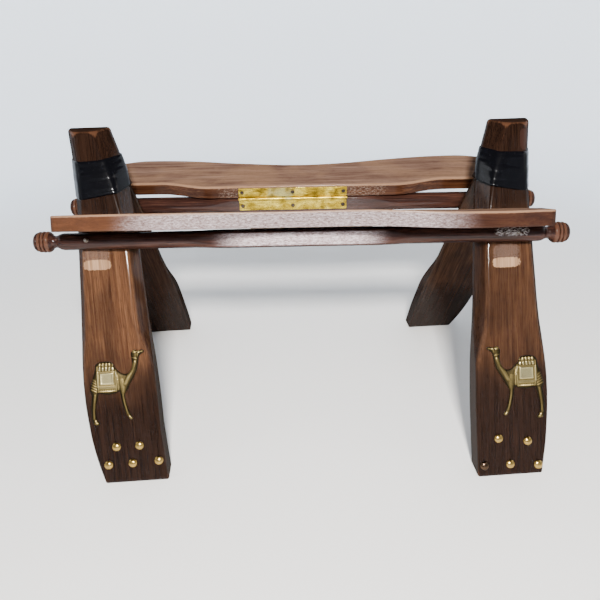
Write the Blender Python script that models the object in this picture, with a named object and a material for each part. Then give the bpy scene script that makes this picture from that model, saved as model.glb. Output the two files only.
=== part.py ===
"""Camel-saddle stool frame: two splayed A-shaped ends with tapered horns, two
turned rails, and two seat boards hinged to the rails with brass strip hinges.

Metres. X runs along the rails, -Y is the show side, Z is up, the floor is z = 0.
"""

import math

import bmesh
import bpy
from mathutils import Matrix, Vector

# ------------------------------------------------------------------ overall sizes
RAIL_HALF = 0.305          # half the rail length, knob to knob
RAIL_Y = 0.0600            # rail axis from the centre plane
RAIL_Z = 0.2506            # rail axis above the floor
ROD_R = 0.0097             # turned part of the rail
FLAT_H = 0.0095            # half width of the square middle of the rail
FLAT_HALF = 0.086          # half length of the full square
RAIL_SHIFT = 0.0012        # each rail sits this far off the middle, the two opposite ways
RAIL_ROLL = {True: math.radians(12.0), False: 0.0}     # the front rail is turned in its seats
BACK_RAIL_FAT = 0.12       # between the ends the back rail is this much thicker

LEG_LEAN = math.radians(28.2)     # slope of each leg, front to back
LEG_SLOPE = math.tan(LEG_LEAN)
FOOT_Y = 0.1833            # outer face of a foot at the floor
LEG_T = 0.0250             # leg thickness measured level, front to back
LEG_TOP = 0.3600           # height of the horn
SPLAY = 0.056              # outward lean of each end, per metre of height
RACK = math.radians(4.0)   # the ends have racked a little round the vertical
END_X = 0.2163             # centre of each end at the floor
LEAN_FOOT = 0.0040         # the whole frame leans left: its feet stand this far right
LEAN_RATE = 0.0095         # and come back by this much per metre of height

BOARD_T = 0.0175           # seat board thickness
BOARD_HALF = 0.2708        # half length of a seat board
BOARD_SHIFT = 0.0010
BOARD_TILT = {True: math.radians(20.5), False: math.radians(17.0)}
BOARD_DROOP = math.radians(3.6)      # the front board has warped down at its right end
BOARD_MID = 0.0500         # board width at the middle
BOARD_HUMP = 0.0165        # extra width at the humps
BOARD_BACK = 0.0110        # how far the inner edge is cut back at the ends

HINGE_LEN = 0.1390
HINGE_SHIFT = 0.0110       # the hinge sits this far off the middle
HINGE_KNUCKLES = 7
KNUCKLE_R = 0.0021
KNUCKLE_BORE = 0.00114
PIN_R = 0.00104
LEAF_T = 0.0011
LEAF_TOP = 0.0155
LEAF_ROOT = 0.0026
AXIS_OUT = 0.0022          # the pin stands this far inward of the wood faces
AXIS_GAP = 0.00015         # half the gap between board and rail at the hinge

CLEAR = 0.00030            # working gap between separate pieces
SCREW_R = 0.0013
SCREW_HEAD_R = 0.0026
SCREW_LEN = 0.0105
TACK_R = 0.0054
TACK_H = 0.0030
NAIL_R = 0.0013
NAIL_X = 0.2440
DOWEL_R = 0.0040
TAPE_SIDES = 24

# leg outline: height, inner edge, outer edge, inner facet width, outer facet width
LEG_STATIONS = [
    (0.000, 0.1810, 0.2490, 0.0010, 0.0010),
    (0.012, 0.1805, 0.2525, 0.0010, 0.0010),
    (0.028, 0.1800, 0.2565, 0.0010, 0.0010),
    (0.048, 0.1795, 0.2600, 0.0010, 0.0010),
    (0.075, 0.1795, 0.2625, 0.0010, 0.0012),
    (0.098, 0.1798, 0.2632, 0.0012, 0.0020),
    (0.112, 0.1803, 0.2634, 0.0022, 0.0034),
    (0.126, 0.1812, 0.2632, 0.0046, 0.0052),
    (0.139, 0.1822, 0.2628, 0.0072, 0.0068),
    (0.152, 0.1832, 0.2620, 0.0092, 0.0080),
    (0.172, 0.1842, 0.2605, 0.0104, 0.0088),
    (0.205, 0.1850, 0.2582, 0.0100, 0.0092),
    (0.235, 0.1855, 0.2560, 0.0098, 0.0094),
    (0.265, 0.1868, 0.2535, 0.0106, 0.0094),
    (0.290, 0.1886, 0.2520, 0.0122, 0.0092),
    (0.310, 0.1915, 0.2515, 0.0136, 0.0090),
    (0.330, 0.1962, 0.2518, 0.0144, 0.0088),
    (0.346, 0.2012, 0.2526, 0.0144, 0.0086),
    (0.3582, 0.2052, 0.2534, 0.0142, 0.0084),
]
FACET_DEPTH = 0.0195       # how far the leg facets run back into the thickness

# hand-sawn differences at the front feet: height, move of the edge
LEFT_FOOT_IN = [(0.000, -0.0045), (0.012, -0.0030), (0.028, -0.0015), (0.048, 0.0)]
RIGHT_FOOT_OUT = [
    (0.000, 0.0080), (0.012, 0.0065), (0.028, 0.0050), (0.048, 0.0035), (0.075, 0.0025),
    (0.098, 0.0020), (0.126, 0.0010), (0.152, 0.0),
]

# camel plate outline in millimetres, head to the right, standing on v = 0
CAMEL_OUTLINE = [
    (1.7, 2.4), (5.0, 0.4), (8.6, 0.0), (9.2, 3.0), (5.9, 6.9), (5.2, 17.5), (7.2, 27.0),
    (9.8, 36.0), (13.0, 35.8), (20.5, 34.4), (28.0, 35.8), (32.2, 37.0), (33.6, 27.0),
    (36.2, 16.5), (38.6, 9.4), (41.8, 4.6), (45.0, 5.6), (43.4, 9.0), (40.4, 16.8),
    (38.0, 27.0), (37.8, 33.6), (40.6, 39.0), (44.6, 47.0), (48.6, 54.0), (52.0, 61.8),
    (54.0, 71.5), (55.0, 76.5), (57.8, 79.6), (60.6, 81.6), (60.0, 84.0), (56.6, 84.2),
    (53.0, 83.2), (50.4, 85.0), (48.2, 83.4), (46.2, 80.6), (46.6, 76.0), (47.0, 70.0),
    (46.4, 64.4), (43.8, 59.6), (39.6, 57.2), (34.4, 58.8), (30.4, 63.0), (27.6, 66.4),
    (25.4, 71.0), (21.0, 72.6), (14.0, 72.6), (8.2, 70.0), (6.6, 62.5), (4.2, 54.6),
    (1.8, 46.6), (0.5, 40.0), (2.2, 33.8), (1.2, 26.0), (0.8, 15.0),
]
CAMEL_T = 0.0015

# rail finial: distance in from the end, radius
FINIAL = [
    (0.0000, 0.0046), (0.0020, 0.0088), (0.0046, 0.0108), (0.0056, 0.0100),
    (0.0066, 0.0115), (0.0086, 0.0118), (0.0095, 0.0107), (0.0104, 0.0118),
    (0.0124, 0.0121), (0.0133, 0.0109), (0.0144, 0.0119), (0.0172, 0.0120),
    (0.0196, 0.0104), (0.0222, 0.0074), (0.0250, 0.0066), (0.0284, 0.0082),
    (0.0330, 0.0097),
]


# ------------------------------------------------------------------ mesh helpers
def link(name, mesh, origin=None):
    obj = bpy.data.objects.new(name, mesh)
    bpy.context.scene.collection.objects.link(obj)
    if origin is not None:
        mesh.transform(Matrix.Translation(-origin))
        obj.location = origin
    return obj


def finish_bmesh(bm, name, origin=None):
    bmesh.ops.remove_doubles(bm, verts=bm.verts, dist=0.000001)
    bmesh.ops.triangulate(bm, faces=[f for f in bm.faces if len(f.verts) > 4])
    bmesh.ops.recalc_face_normals(bm, faces=bm.faces)
    mesh = bpy.data.meshes.new(name)
    bm.to_mesh(mesh)
    bm.free()
    return link(name, mesh, origin)


def loft_bmesh(rings):
    bm = bmesh.new()
    rows = []
    for ring in rings:
        rows.append([bm.verts.new(p) for p in ring])
    count = len(rows[0])
    for low, high in zip(rows, rows[1:]):
        for i in range(count):
            j = (i + 1) % count
            bm.faces.new((low[i], low[j], high[j], high[i]))
    bm.faces.new(list(reversed(rows[0])))
    bm.faces.new(rows[-1])
    return bm


def loft(name, rings, origin=None):
    return finish_bmesh(loft_bmesh(rings), name, origin)


def spread(axis):
    """Two unit vectors square to axis and to each other."""
    axis = axis.normalized()
    side = Vector((1.0, 0.0, 0.0))
    if abs(axis.dot(side)) > 0.9:
        side = Vector((0.0, 0.0, 1.0))
    first = (side - axis * axis.dot(side)).normalized()
    return first, axis.cross(first)


def lathe(name, start, axis, profile, segments=12, origin=None):
    """Solid of revolution; profile is a list of (distance along axis, radius)."""
    axis = axis.normalized()
    first, second = spread(axis)
    rings = []
    for along, radius in profile:
        ring = []
        for i in range(segments):
            turn = 2.0 * math.pi * i / segments
            around = first * math.cos(turn) + second * math.sin(turn)
            ring.append(start + axis * along + around * radius)
        rings.append(ring)
    return loft(name, rings, origin)


def cut(target, cutters):
    """Take every cutter away from target and delete the cutters."""
    for cutter in cutters:
        cutter.hide_render = True
        cutter.display_type = "WIRE"
        step = target.modifiers.new("cut", "BOOLEAN")
        step.operation = "DIFFERENCE"
        step.solver = "EXACT"
        step.object = cutter
    bake(target)
    for cutter in cutters:
        bpy.data.objects.remove(cutter)


def join_solid(target, others):
    for other in others:
        step = target.modifiers.new("join", "BOOLEAN")
        step.operation = "UNION"
        step.solver = "EXACT"
        step.object = other
    bake(target)
    for other in others:
        bpy.data.objects.remove(other)


def bake(target):
    bpy.context.view_layer.update()
    graph = bpy.context.evaluated_depsgraph_get()
    mesh = bpy.data.meshes.new_from_object(target.evaluated_get(graph))
    target.modifiers.clear()
    target.data = mesh
    bm = bmesh.new()
    bm.from_mesh(mesh)
    bmesh.ops.remove_doubles(bm, verts=bm.verts, dist=0.000004)
    bmesh.ops.dissolve_degenerate(bm, edges=bm.edges, dist=0.000004)
    bmesh.ops.triangulate(bm, faces=[f for f in bm.faces if len(f.verts) > 4])
    bm.to_mesh(mesh)
    bm.free()


def rod_cutter(start, axis, length, radius, segments=12):
    profile = [(0.0, radius), (length, radius)]
    return lathe("cutter", start, axis, profile, segments)


def block(name, corner, edge_a, edge_b, edge_c, origin=None):
    lower = [corner, corner + edge_a, corner + edge_a + edge_b, corner + edge_b]
    upper = [p + edge_c for p in lower]
    return loft(name, [lower, upper], origin)


def ease(value):
    value = min(1.0, max(0.0, value))
    return value * value * (3.0 - 2.0 * value)


# ------------------------------------------------------------------ leg geometry
def end_point(side, x, y, z):
    """Point of an end frame: x outward, y to the back, before splay and racking."""
    out = x + SPLAY * z - END_X
    wx = side * out * math.cos(RACK) - y * math.sin(RACK)
    wy = side * out * math.sin(RACK) + y * math.cos(RACK)
    return Vector((side * END_X + wx + LEAN_FOOT - LEAN_RATE * z, wy, z))


def front_face(z):
    return -FOOT_Y + LEG_SLOPE * z


def leg_row(z):
    if z >= LEG_STATIONS[-1][0]:
        return LEG_STATIONS[-1][1:]
    for low, high in zip(LEG_STATIONS, LEG_STATIONS[1:]):
        if low[0] <= z <= high[0]:
            part = (z - low[0]) / (high[0] - low[0])
            return tuple(a + (b - a) * part for a, b in zip(low[1:], high[1:]))
    return LEG_STATIONS[0][1:]


def edge_move(table, z):
    for low, high in zip(table, table[1:]):
        if low[0] <= z <= high[0]:
            return low[1] + (high[1] - low[1]) * (z - low[0]) / (high[0] - low[0])
    return 0.0


def foot_moves(side, front, z):
    """Moves of the inner and the outer edge of one leg at height z."""
    move_in = edge_move(LEFT_FOOT_IN, z) if front and side < 0 else 0.0
    move_out = edge_move(RIGHT_FOOT_OUT, z) if front and side > 0 else 0.0
    return move_in, move_out


def leg_section(z, inset=0.0, moves=(0.0, 0.0)):
    """Eight (x, y) corners of a front leg cut level at height z."""
    inner, outer, facet_in, facet_out = leg_row(z)
    inner += moves[0]
    outer += moves[1]
    face = front_face(z) + inset
    back = front_face(z) + LEG_T - inset
    depth_in = min(FACET_DEPTH, facet_in * 1.9)
    depth_out = min(FACET_DEPTH, facet_out * 1.9)
    ease_in = inner + inset
    ease_out = outer - inset
    arris = 0.0012
    return [
        (ease_in + facet_in, face),
        (ease_out - facet_out, face),
        (ease_out, face + depth_out),
        (ease_out, back - arris),
        (ease_out - arris, back),
        (ease_in + arris, back),
        (ease_in, back - arris),
        (ease_in, face + depth_in),
    ]


def leg_rings(side, front):
    rings = []
    turn = 1.0 if front else -1.0
    for row in LEG_STATIONS:
        z = row[0]
        moves = foot_moves(side, front, z)
        rings.append([end_point(side, x, turn * y, z) for x, y in leg_section(z, 0.0, moves)])
    rings.append([end_point(side, x, turn * y, LEG_TOP)
                  for x, y in leg_section(LEG_TOP, 0.0016)])
    return rings


def face_frame(side, front, x, z):
    """Point on a leg's show face with its outward, inward-to-centre and up directions."""
    turn = 1.0 if front else -1.0
    at = end_point(side, x, turn * front_face(z), z)
    along = end_point(side, x - 0.01, turn * front_face(z), z) - at
    above = end_point(side, x, turn * front_face(z + 0.01), z + 0.01) - at
    up = above.normalized()
    inward = (along - up * along.dot(up)).normalized()
    outward = inward.cross(up)
    if outward.y * turn > 0.0:
        outward = -outward
    return at, outward.normalized(), inward, up


def joint_frame(side):
    """Middle of the bevelled joint between the legs, and the way the dowel goes in."""
    z = 0.3065
    y = front_face(z) + LEG_T
    inner, outer = leg_row(z)[:2]
    at = end_point(side, (inner + outer) / 2.0, y, z)
    cosine = math.cos(LEG_LEAN)
    sine = math.sin(LEG_LEAN)
    near = end_point(side, (inner + outer) / 2.0, y - cosine * 0.01, z + sine * 0.01)
    flat = near - at
    return at, flat.normalized()


# tacks on a left and on a right leg: distance out, height
TACK_SPOTS = {
    -1: [(0.2323, 0.0370), (0.2060, 0.0370), (0.2432, 0.0190), (0.2158, 0.0195), (0.1859, 0.0205)],
    1: [(0.2397, 0.0338), (0.2054, 0.0380), (0.2518, 0.0092), (0.2188, 0.0115), (0.1884, 0.0115)],
}
# camel plate on a left and on a right leg: distance out, height, lean inward, stretch
CAMEL_PLACES = {-1: (0.2578, 0.0600, math.radians(3.0), 1.06), 1: (0.2612, 0.0565, math.radians(1.5), 1.10)}
CAMEL_PINS = [(0.0200, 0.0520), (0.0385, 0.0500)]


def camel_frame(side, front):
    """Corner of a camel plate with its outward, inward-to-centre and up directions."""
    x, z, lean, stretch = CAMEL_PLACES[side]
    spot, out, across, up = face_frame(side, front, x, z)
    turned = across * math.cos(lean) - up * math.sin(lean)
    return spot, out, turned * stretch, up * math.cos(lean) + across * math.sin(lean)


def side_name(side):
    return "left" if side < 0 else "right"


def face_name(front):
    return "front" if front else "back"


def rail_seat(front):
    y = -RAIL_Y if front else RAIL_Y
    return Vector((-0.29, y, RAIL_Z))


def nail_frame(side, front):
    turn = 1.0 if front else -1.0
    into = Vector((0.0, turn * math.cos(LEG_LEAN), -math.sin(LEG_LEAN)))
    at = Vector((side * NAIL_X, -turn * RAIL_Y, RAIL_Z))
    return at, into


def build_leg(side, front):
    name = "leg_%s_%s" % (face_name(front), side_name(side))
    if front:
        leg = loft(name, leg_rings(side, True))
    else:
        bm = loft_bmesh(leg_rings(side, False))
        near = end_point(side, END_X, front_face(0.20) + LEG_T + CLEAR * 1.2, 0.20)
        high = end_point(side, END_X, front_face(0.30) + LEG_T + CLEAR * 1.2, 0.30)
        wide = end_point(side, END_X + 0.1, front_face(0.20) + LEG_T + CLEAR * 1.2, 0.20)
        normal = (high - near).cross(wide - near).normalized()
        if normal.y < 0.0:
            normal = -normal
        every = list(bm.verts) + list(bm.edges) + list(bm.faces)
        bmesh.ops.bisect_plane(bm, geom=every, plane_co=near, plane_no=normal, clear_inner=True)
        rim = [edge for edge in bm.edges if edge.is_boundary]
        bmesh.ops.contextual_create(bm, geom=rim)
        leg = finish_bmesh(bm, name)
    cutters = []
    seat = rail_seat(front)
    seat_r = ROD_R * rail_fat(front, 0.0) + CLEAR
    cutters.append(rod_cutter(seat, Vector((1.0, 0.0, 0.0)), 0.58, seat_r, 24))
    at, into = nail_frame(side, front)
    cutters.append(rod_cutter(at, into, 0.0260, NAIL_R + 0.00025, 10))
    joint, inward = joint_frame(side)
    cutters.append(rod_cutter(joint - inward * 0.040, inward, 0.054, DOWEL_R + 0.00025, 14))
    for x, z in TACK_SPOTS[side]:
        spot, out, across, up = face_frame(side, front, x, z)
        cutters.append(rod_cutter(spot + out * 0.002, -out, 0.0130, 0.0012, 8))
    spot, out, across, up = camel_frame(side, front)
    for u, v in CAMEL_PINS:
        pin = spot + across * u + up * v
        cutters.append(rod_cutter(pin + out * 0.002, -out, 0.0105, 0.00115, 8))
    cut(leg, cutters)
    return leg


def build_dowel(side):
    joint, inward = joint_frame(side)
    profile = [
        (-0.0134, DOWEL_R - 0.0006), (-0.0128, DOWEL_R),
        (0.0124, DOWEL_R), (0.0130, DOWEL_R - 0.0006),
    ]
    return lathe("leg_dowel_" + side_name(side), joint, inward, profile, 14)


# ------------------------------------------------------------------ tape
def support_loop(points, count, grow):
    """Polygon of tangent lines round a set of points, pushed out by grow."""
    lines = []
    for i in range(count):
        turn = 2.0 * math.pi * (i + 0.5) / count
        nx = math.cos(turn)
        ny = math.sin(turn)
        reach = max(px * nx + py * ny for px, py in points) + grow
        lines.append((nx, ny, reach))
    loop = []
    for first, second in zip(lines, lines[1:] + lines[:1]):
        det = first[0] * second[1] - first[1] * second[0]
        px = (first[2] * second[1] - first[1] * second[2]) / det
        py = (first[0] * second[2] - first[2] * second[0]) / det
        loop.append((px, py))
    return loop


def horn_points(z):
    points = list(leg_section(z))
    limit = front_face(z) + LEG_T
    reach = []
    for x, y in leg_section(z):
        if -y >= limit:
            reach.append((x, -y))
    return points + reach


def build_tape(side):
    levels = [0.2930, 0.3010, 0.3100, 0.3200, 0.3300]
    slope = 0.05
    outer = []
    inner = []
    for z in levels:
        points = horn_points(z)
        for grow, store in ((0.0015, outer), (0.0006, inner)):
            ring = []
            for x, y in support_loop(points, TAPE_SIDES, grow):
                ring.append(end_point(side, x, y, z + slope * (0.22 - x) * 0.5))
            store.append(ring)
    bm = bmesh.new()
    out_rows = [[bm.verts.new(p) for p in ring] for ring in outer]
    in_rows = [[bm.verts.new(p) for p in ring] for ring in inner]
    count = TAPE_SIDES
    for rows in (out_rows, in_rows):
        for low, high in zip(rows, rows[1:]):
            for i in range(count):
                j = (i + 1) % count
                bm.faces.new((low[i], low[j], high[j], high[i]))
    for out_row, in_row in ((out_rows[0], in_rows[0]), (out_rows[-1], in_rows[-1])):
        for i in range(count):
            j = (i + 1) % count
            bm.faces.new((out_row[i], out_row[j], in_row[j], in_row[i]))
    return finish_bmesh(bm, "tape_" + side_name(side))


# ------------------------------------------------------------------ rails
def rail_reach(x):
    """Radius that limits the square section, so its faces fade into the rod."""
    far = abs(x)
    full = FLAT_H * 1.30
    fade = ease((far - FLAT_HALF) / 0.036)
    return full + (ROD_R - full) * fade


def rail_section(x, radius=None):
    ring = []
    for quarter in range(4):
        for degrees in (0.0, 22.0, 41.0, 49.0, 68.0):
            turn = math.radians(quarter * 90.0 + degrees)
            cosine = math.cos(turn)
            sine = math.sin(turn)
            if radius is None:
                square = FLAT_H / max(abs(cosine), abs(sine))
                reach = rail_reach(x)
                if abs(x) > FLAT_HALF + 0.034:
                    square = reach
                length = min(square, reach)
            else:
                length = radius
            ring.append((cosine * length, sine * length))
    return ring


def rail_frame(front):
    """Middle of the rail with the outward and up directions of its square part."""
    turn = -1.0 if front else 1.0
    cosine = math.cos(RAIL_ROLL[front])
    sine = math.sin(RAIL_ROLL[front])
    centre = Vector((turn * RAIL_SHIFT, turn * RAIL_Y, RAIL_Z))
    return centre, Vector((0.0, turn * cosine, sine)), Vector((0.0, -turn * sine, cosine))


def rail_fat(front, x):
    """Swelling of the back rail between the ends."""
    return 1.0 if front else 1.0 + BACK_RAIL_FAT * ease((0.272 - abs(x)) / 0.020)


def rail_rings(front):
    centre, outward, up = rail_frame(front)
    ends = []
    for inset, radius in FINIAL:
        ends.append((RAIL_HALF - inset, radius))
    stations = [(x, r) for x, r in ends]
    stations += [(0.2520, ROD_R), (0.1240, ROD_R)]
    stations += [(x, None) for x in (0.1180, 0.1110, 0.1030, 0.0950, FLAT_HALF)]
    full = stations + [(-x, r) for x, r in reversed(stations)]
    rings = []
    for x, radius in full:
        section = rail_section(x, radius)
        middle = centre + Vector((x, 0.0, 0.0))
        fat = rail_fat(front, x)
        rings.append([middle + outward * a * fat + up * b * fat for a, b in section])
    return rings


def build_rail(front):
    rail = loft("rail_" + face_name(front), rail_rings(front))
    cutters = []
    for side in (-1, 1):
        at, into = nail_frame(side, front)
        cutters.append(rod_cutter(at - into * 0.014, into, 0.028, NAIL_R + 0.00025, 10))
    for place, face_dir, up_dir, point in leaf_screws(front, False):
        cutters.append(rod_cutter(point + face_dir * 0.002, -face_dir, 0.0135, SCREW_R + 0.00025, 8))
    cut(rail, cutters)
    return rail


def build_nail(side, front):
    at, into = nail_frame(side, front)
    head = -ROD_R * rail_fat(front, NAIL_X) - 0.0003
    profile = [
        (head - 0.0011, 0.0014), (head - 0.0009, 0.0024), (head - 0.0003, 0.0027),
        (head, 0.0026), (head + 0.00005, NAIL_R), (0.0230, NAIL_R), (0.0250, 0.0003),
    ]
    name = "nail_%s_%s" % (face_name(front), side_name(side))
    return lathe(name, at, into, profile, 10)


# ------------------------------------------------------------------ hinges
def hinge_axis(front):
    """A point on the pin, the way outward from the centre plane, and the X shift."""
    centre, outward, up = rail_frame(front)
    half = FLAT_H * rail_fat(front, 0.0)
    axis = centre - outward * (half + AXIS_OUT) + up * (half + AXIS_GAP)
    axis.x = 0.0
    shift = HINGE_SHIFT if front else -HINGE_SHIFT
    return axis, outward, shift


def hinge_frame(front, on_board):
    """Axis point with the outward and up directions of the wood the leaf lies on."""
    axis, outward, shift = hinge_axis(front)
    up = rail_frame(front)[2]
    if on_board:
        outward, up = slope_frame(front, BOARD_TILT[front])
    return axis, outward, up, shift


def slope_frame(front, slope):
    """Outward and up directions of something that rises outward at a slope."""
    turn = -1.0 if front else 1.0
    cosine = math.cos(slope)
    sine = math.sin(slope)
    return Vector((0.0, turn * cosine, sine)), Vector((0.0, -turn * sine, cosine))


def leaf_screws(front, on_board):
    axis, outward, up, shift = hinge_frame(front, on_board)
    way = 1.0 if on_board else -1.0
    height = way * 0.0094
    spots = []
    for place in (-1, 0, 1):
        x = shift + place * (HINGE_LEN / 2.0 - 0.0045)
        point = axis + Vector((x, 0.0, 0.0)) + up * height + outward * (AXIS_OUT - CLEAR - LEAF_T)
        spots.append((place, -outward, up, point))
    return spots


def build_leaf(front, on_board):
    axis, outward, up, shift = hinge_frame(front, on_board)
    way = 1.0 if on_board else -1.0
    kind = "board" if on_board else "rail"
    name = "hinge_leaf_%s_%s" % (kind, face_name(front))
    start = axis + Vector((shift - HINGE_LEN / 2.0, 0.0, 0.0))
    along = Vector((HINGE_LEN, 0.0, 0.0))
    corner = start + outward * (AXIS_OUT - CLEAR - LEAF_T) + up * (way * LEAF_ROOT)
    leaf = block(name, corner, along, outward * LEAF_T, up * (way * (LEAF_TOP - LEAF_ROOT)))
    pitch = HINGE_LEN / HINGE_KNUCKLES
    parts = []
    bores = []
    for i in range(HINGE_KNUCKLES):
        if (i % 2 == 0) == on_board:
            continue
        low = start + Vector((pitch * i + 0.00018, 0.0, 0.0))
        width = pitch - 0.00036
        parts.append(rod_cutter(low, Vector((1.0, 0.0, 0.0)), width, KNUCKLE_R, 12))
        arm = low + outward * (AXIS_OUT - CLEAR - LEAF_T + 0.00006) + up * (way * 0.0006)
        arm += Vector((0.00005, 0.0, 0.0))
        parts.append(block("arm", arm, Vector((width - 0.0001, 0.0, 0.0)), outward * (LEAF_T - 0.00012),
                           up * (way * (LEAF_ROOT + 0.0005 - 0.0006))))
        bores.append(rod_cutter(low - Vector((0.0001, 0.0, 0.0)), Vector((1.0, 0.0, 0.0)),
                                width + 0.0002, KNUCKLE_BORE, 12))
    join_solid(leaf, parts)
    for place, face_dir, up_dir, point in leaf_screws(front, on_board):
        bores.append(rod_cutter(point + face_dir * 0.003, -face_dir, 0.006, SCREW_R + 0.00025, 8))
    cut(leaf, bores)
    if on_board:
        leaf.data.transform(Matrix.Translation(-axis))
        leaf.location = axis
    return leaf


def build_pin(front):
    axis, outward, shift = hinge_axis(front)
    half = HINGE_LEN / 2.0
    start = axis + Vector((shift, 0.0, 0.0))
    profile = [
        (-half - 0.0012, 0.0012), (-half - 0.0009, 0.0017), (-half - 0.0003, 0.0018),
        (-half - 0.00025, PIN_R), (half + 0.00025, PIN_R), (half + 0.0003, 0.0018),
        (half + 0.0009, 0.0017), (half + 0.0012, 0.0012),
    ]
    return lathe("hinge_pin_" + face_name(front), start, Vector((1.0, 0.0, 0.0)), profile, 12)


def build_screw(front, on_board, spot):
    place, face_dir, up_dir, point = spot
    kind = "board" if on_board else "rail"
    where = ("left", "middle", "right")[place + 1]
    name = "screw_%s_%s_%s" % (kind, face_name(front), where)
    lift = 0.00025
    profile = [
        (lift + 0.0011, SCREW_HEAD_R * 0.6), (lift + 0.0005, SCREW_HEAD_R),
        (lift, SCREW_HEAD_R), (lift - 0.00005, SCREW_R),
        (-SCREW_LEN + 0.0016, SCREW_R), (-SCREW_LEN, 0.0003),
    ]
    screw = lathe(name, point, face_dir, profile, 8)
    turn = 0.5 + 0.9 * place + (0.4 if on_board else 0.0)
    side = Vector((1.0, 0.0, 0.0))
    slot_dir = side * math.cos(turn) + up_dir * math.sin(turn)
    slot_side = face_dir.cross(slot_dir)
    corner = point + face_dir * (lift + 0.0006) - slot_dir * 0.004 - slot_side * 0.0003
    cut(screw, [block("cutter", corner, slot_dir * 0.008, slot_side * 0.0006, face_dir * 0.002)])
    if on_board:
        axis = hinge_axis(front)[0]
        screw.data.transform(Matrix.Translation(-axis))
        screw.location = axis
    return screw


# ------------------------------------------------------------------ seat boards
def board_inner(x):
    return BOARD_BACK * ease((abs(x) - 0.118) / 0.066)


def board_outer(x):
    far = abs(x)
    swell = BOARD_HUMP * ease(far / 0.200)
    fall = 0.0130 * ease((far - 0.205) / 0.075)
    return BOARD_MID + swell - fall


def board_outline():
    """Closed (x, width) outline, going along the inner edge and back along the outer."""
    inner = []
    outer = []
    steps = 26
    for i in range(steps + 1):
        x = -BOARD_HALF + 2.0 * BOARD_HALF * i / steps
        shy = 0.0025 if i in (0, steps) else 0.0
        inner.append((x, board_inner(x) + shy))
    corner = 0.0055
    for i in range(steps + 1):
        x = BOARD_HALF - 2.0 * BOARD_HALF * i / steps
        shy = corner if i in (0, steps) else 0.0
        outer.append((x, board_outer(x) - shy))
    tuck_right = (BOARD_HALF - corner, board_outer(BOARD_HALF - corner))
    tuck_left = (-BOARD_HALF + corner, board_outer(BOARD_HALF - corner))
    outer = [outer[0], tuck_right] + outer[1:-1] + [tuck_left, outer[-1]]
    low_left = (-BOARD_HALF + 0.0025, board_inner(BOARD_HALF))
    low_right = (BOARD_HALF - 0.0025, board_inner(BOARD_HALF))
    return [inner[0], low_left] + inner[1:-1] + [low_right, inner[-1]] + outer


def shrink(outline, amount):
    result = []
    count = len(outline)
    for i in range(count):
        ax, ay = outline[i - 1]
        bx, by = outline[i]
        cx, cy = outline[(i + 1) % count]
        ex, ey = cx - ax, cy - ay
        size = math.hypot(ex, ey)
        result.append((bx - ey / size * amount, by + ex / size * amount))
    return result


def board_slope(front, x):
    droop = BOARD_DROOP * ease((x - 0.060) / 0.120) if front else 0.0
    return BOARD_TILT[front] - droop


def build_board(front):
    axis, outward, up, shift = hinge_frame(front, True)
    outline = board_outline()
    rings = []
    for height, amount in ((0.0, 0.0010), (0.0011, 0.0), (BOARD_T - 0.0014, 0.0), (BOARD_T, 0.0013)):
        ring = []
        for x, width in shrink(outline, amount):
            outward, up = slope_frame(front, board_slope(front, x))
            ring.append(axis + Vector((x + BOARD_SHIFT, 0.0, 0.0)) + outward * (AXIS_OUT + width)
                        + up * (AXIS_GAP + height))
        rings.append(ring)
    board = loft("seat_board_" + face_name(front), rings)
    cutters = []
    for place, face_dir, up_dir, point in leaf_screws(front, True):
        cutters.append(rod_cutter(point + face_dir * 0.002, -face_dir, 0.0135, SCREW_R + 0.00025, 8))
    cut(board, cutters)
    board.data.transform(Matrix.Translation(-axis))
    board.location = axis
    return board


# ------------------------------------------------------------------ brass ornaments
def build_tack(side, front, number):
    x, z = TACK_SPOTS[side][number]
    spot, out, across, up = face_frame(side, front, x, z)
    lift = 0.00025
    profile = [
        (lift + TACK_H, TACK_R * 0.30), (lift + TACK_H * 0.72, TACK_R * 0.74),
        (lift, TACK_R), (lift - 0.00005, 0.0009), (-0.0100, 0.0005),
    ]
    name = "tack_%s_%s_%d" % (face_name(front), side_name(side), number + 1)
    return lathe(name, spot, out, profile, 10)


def plate(name, frame, outline, low, high, inset=0.0):
    spot, out, across, up = frame
    rings = []
    for height, amount in ((low, 0.0), (high - inset, 0.0), (high, inset)):
        ring = []
        for u, v in shrink(outline, amount):
            ring.append(spot + across * u + up * v + out * height)
        rings.append(ring)
    if inset == 0.0:
        rings = [rings[0], rings[2]]
    return loft(name, rings)


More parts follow.
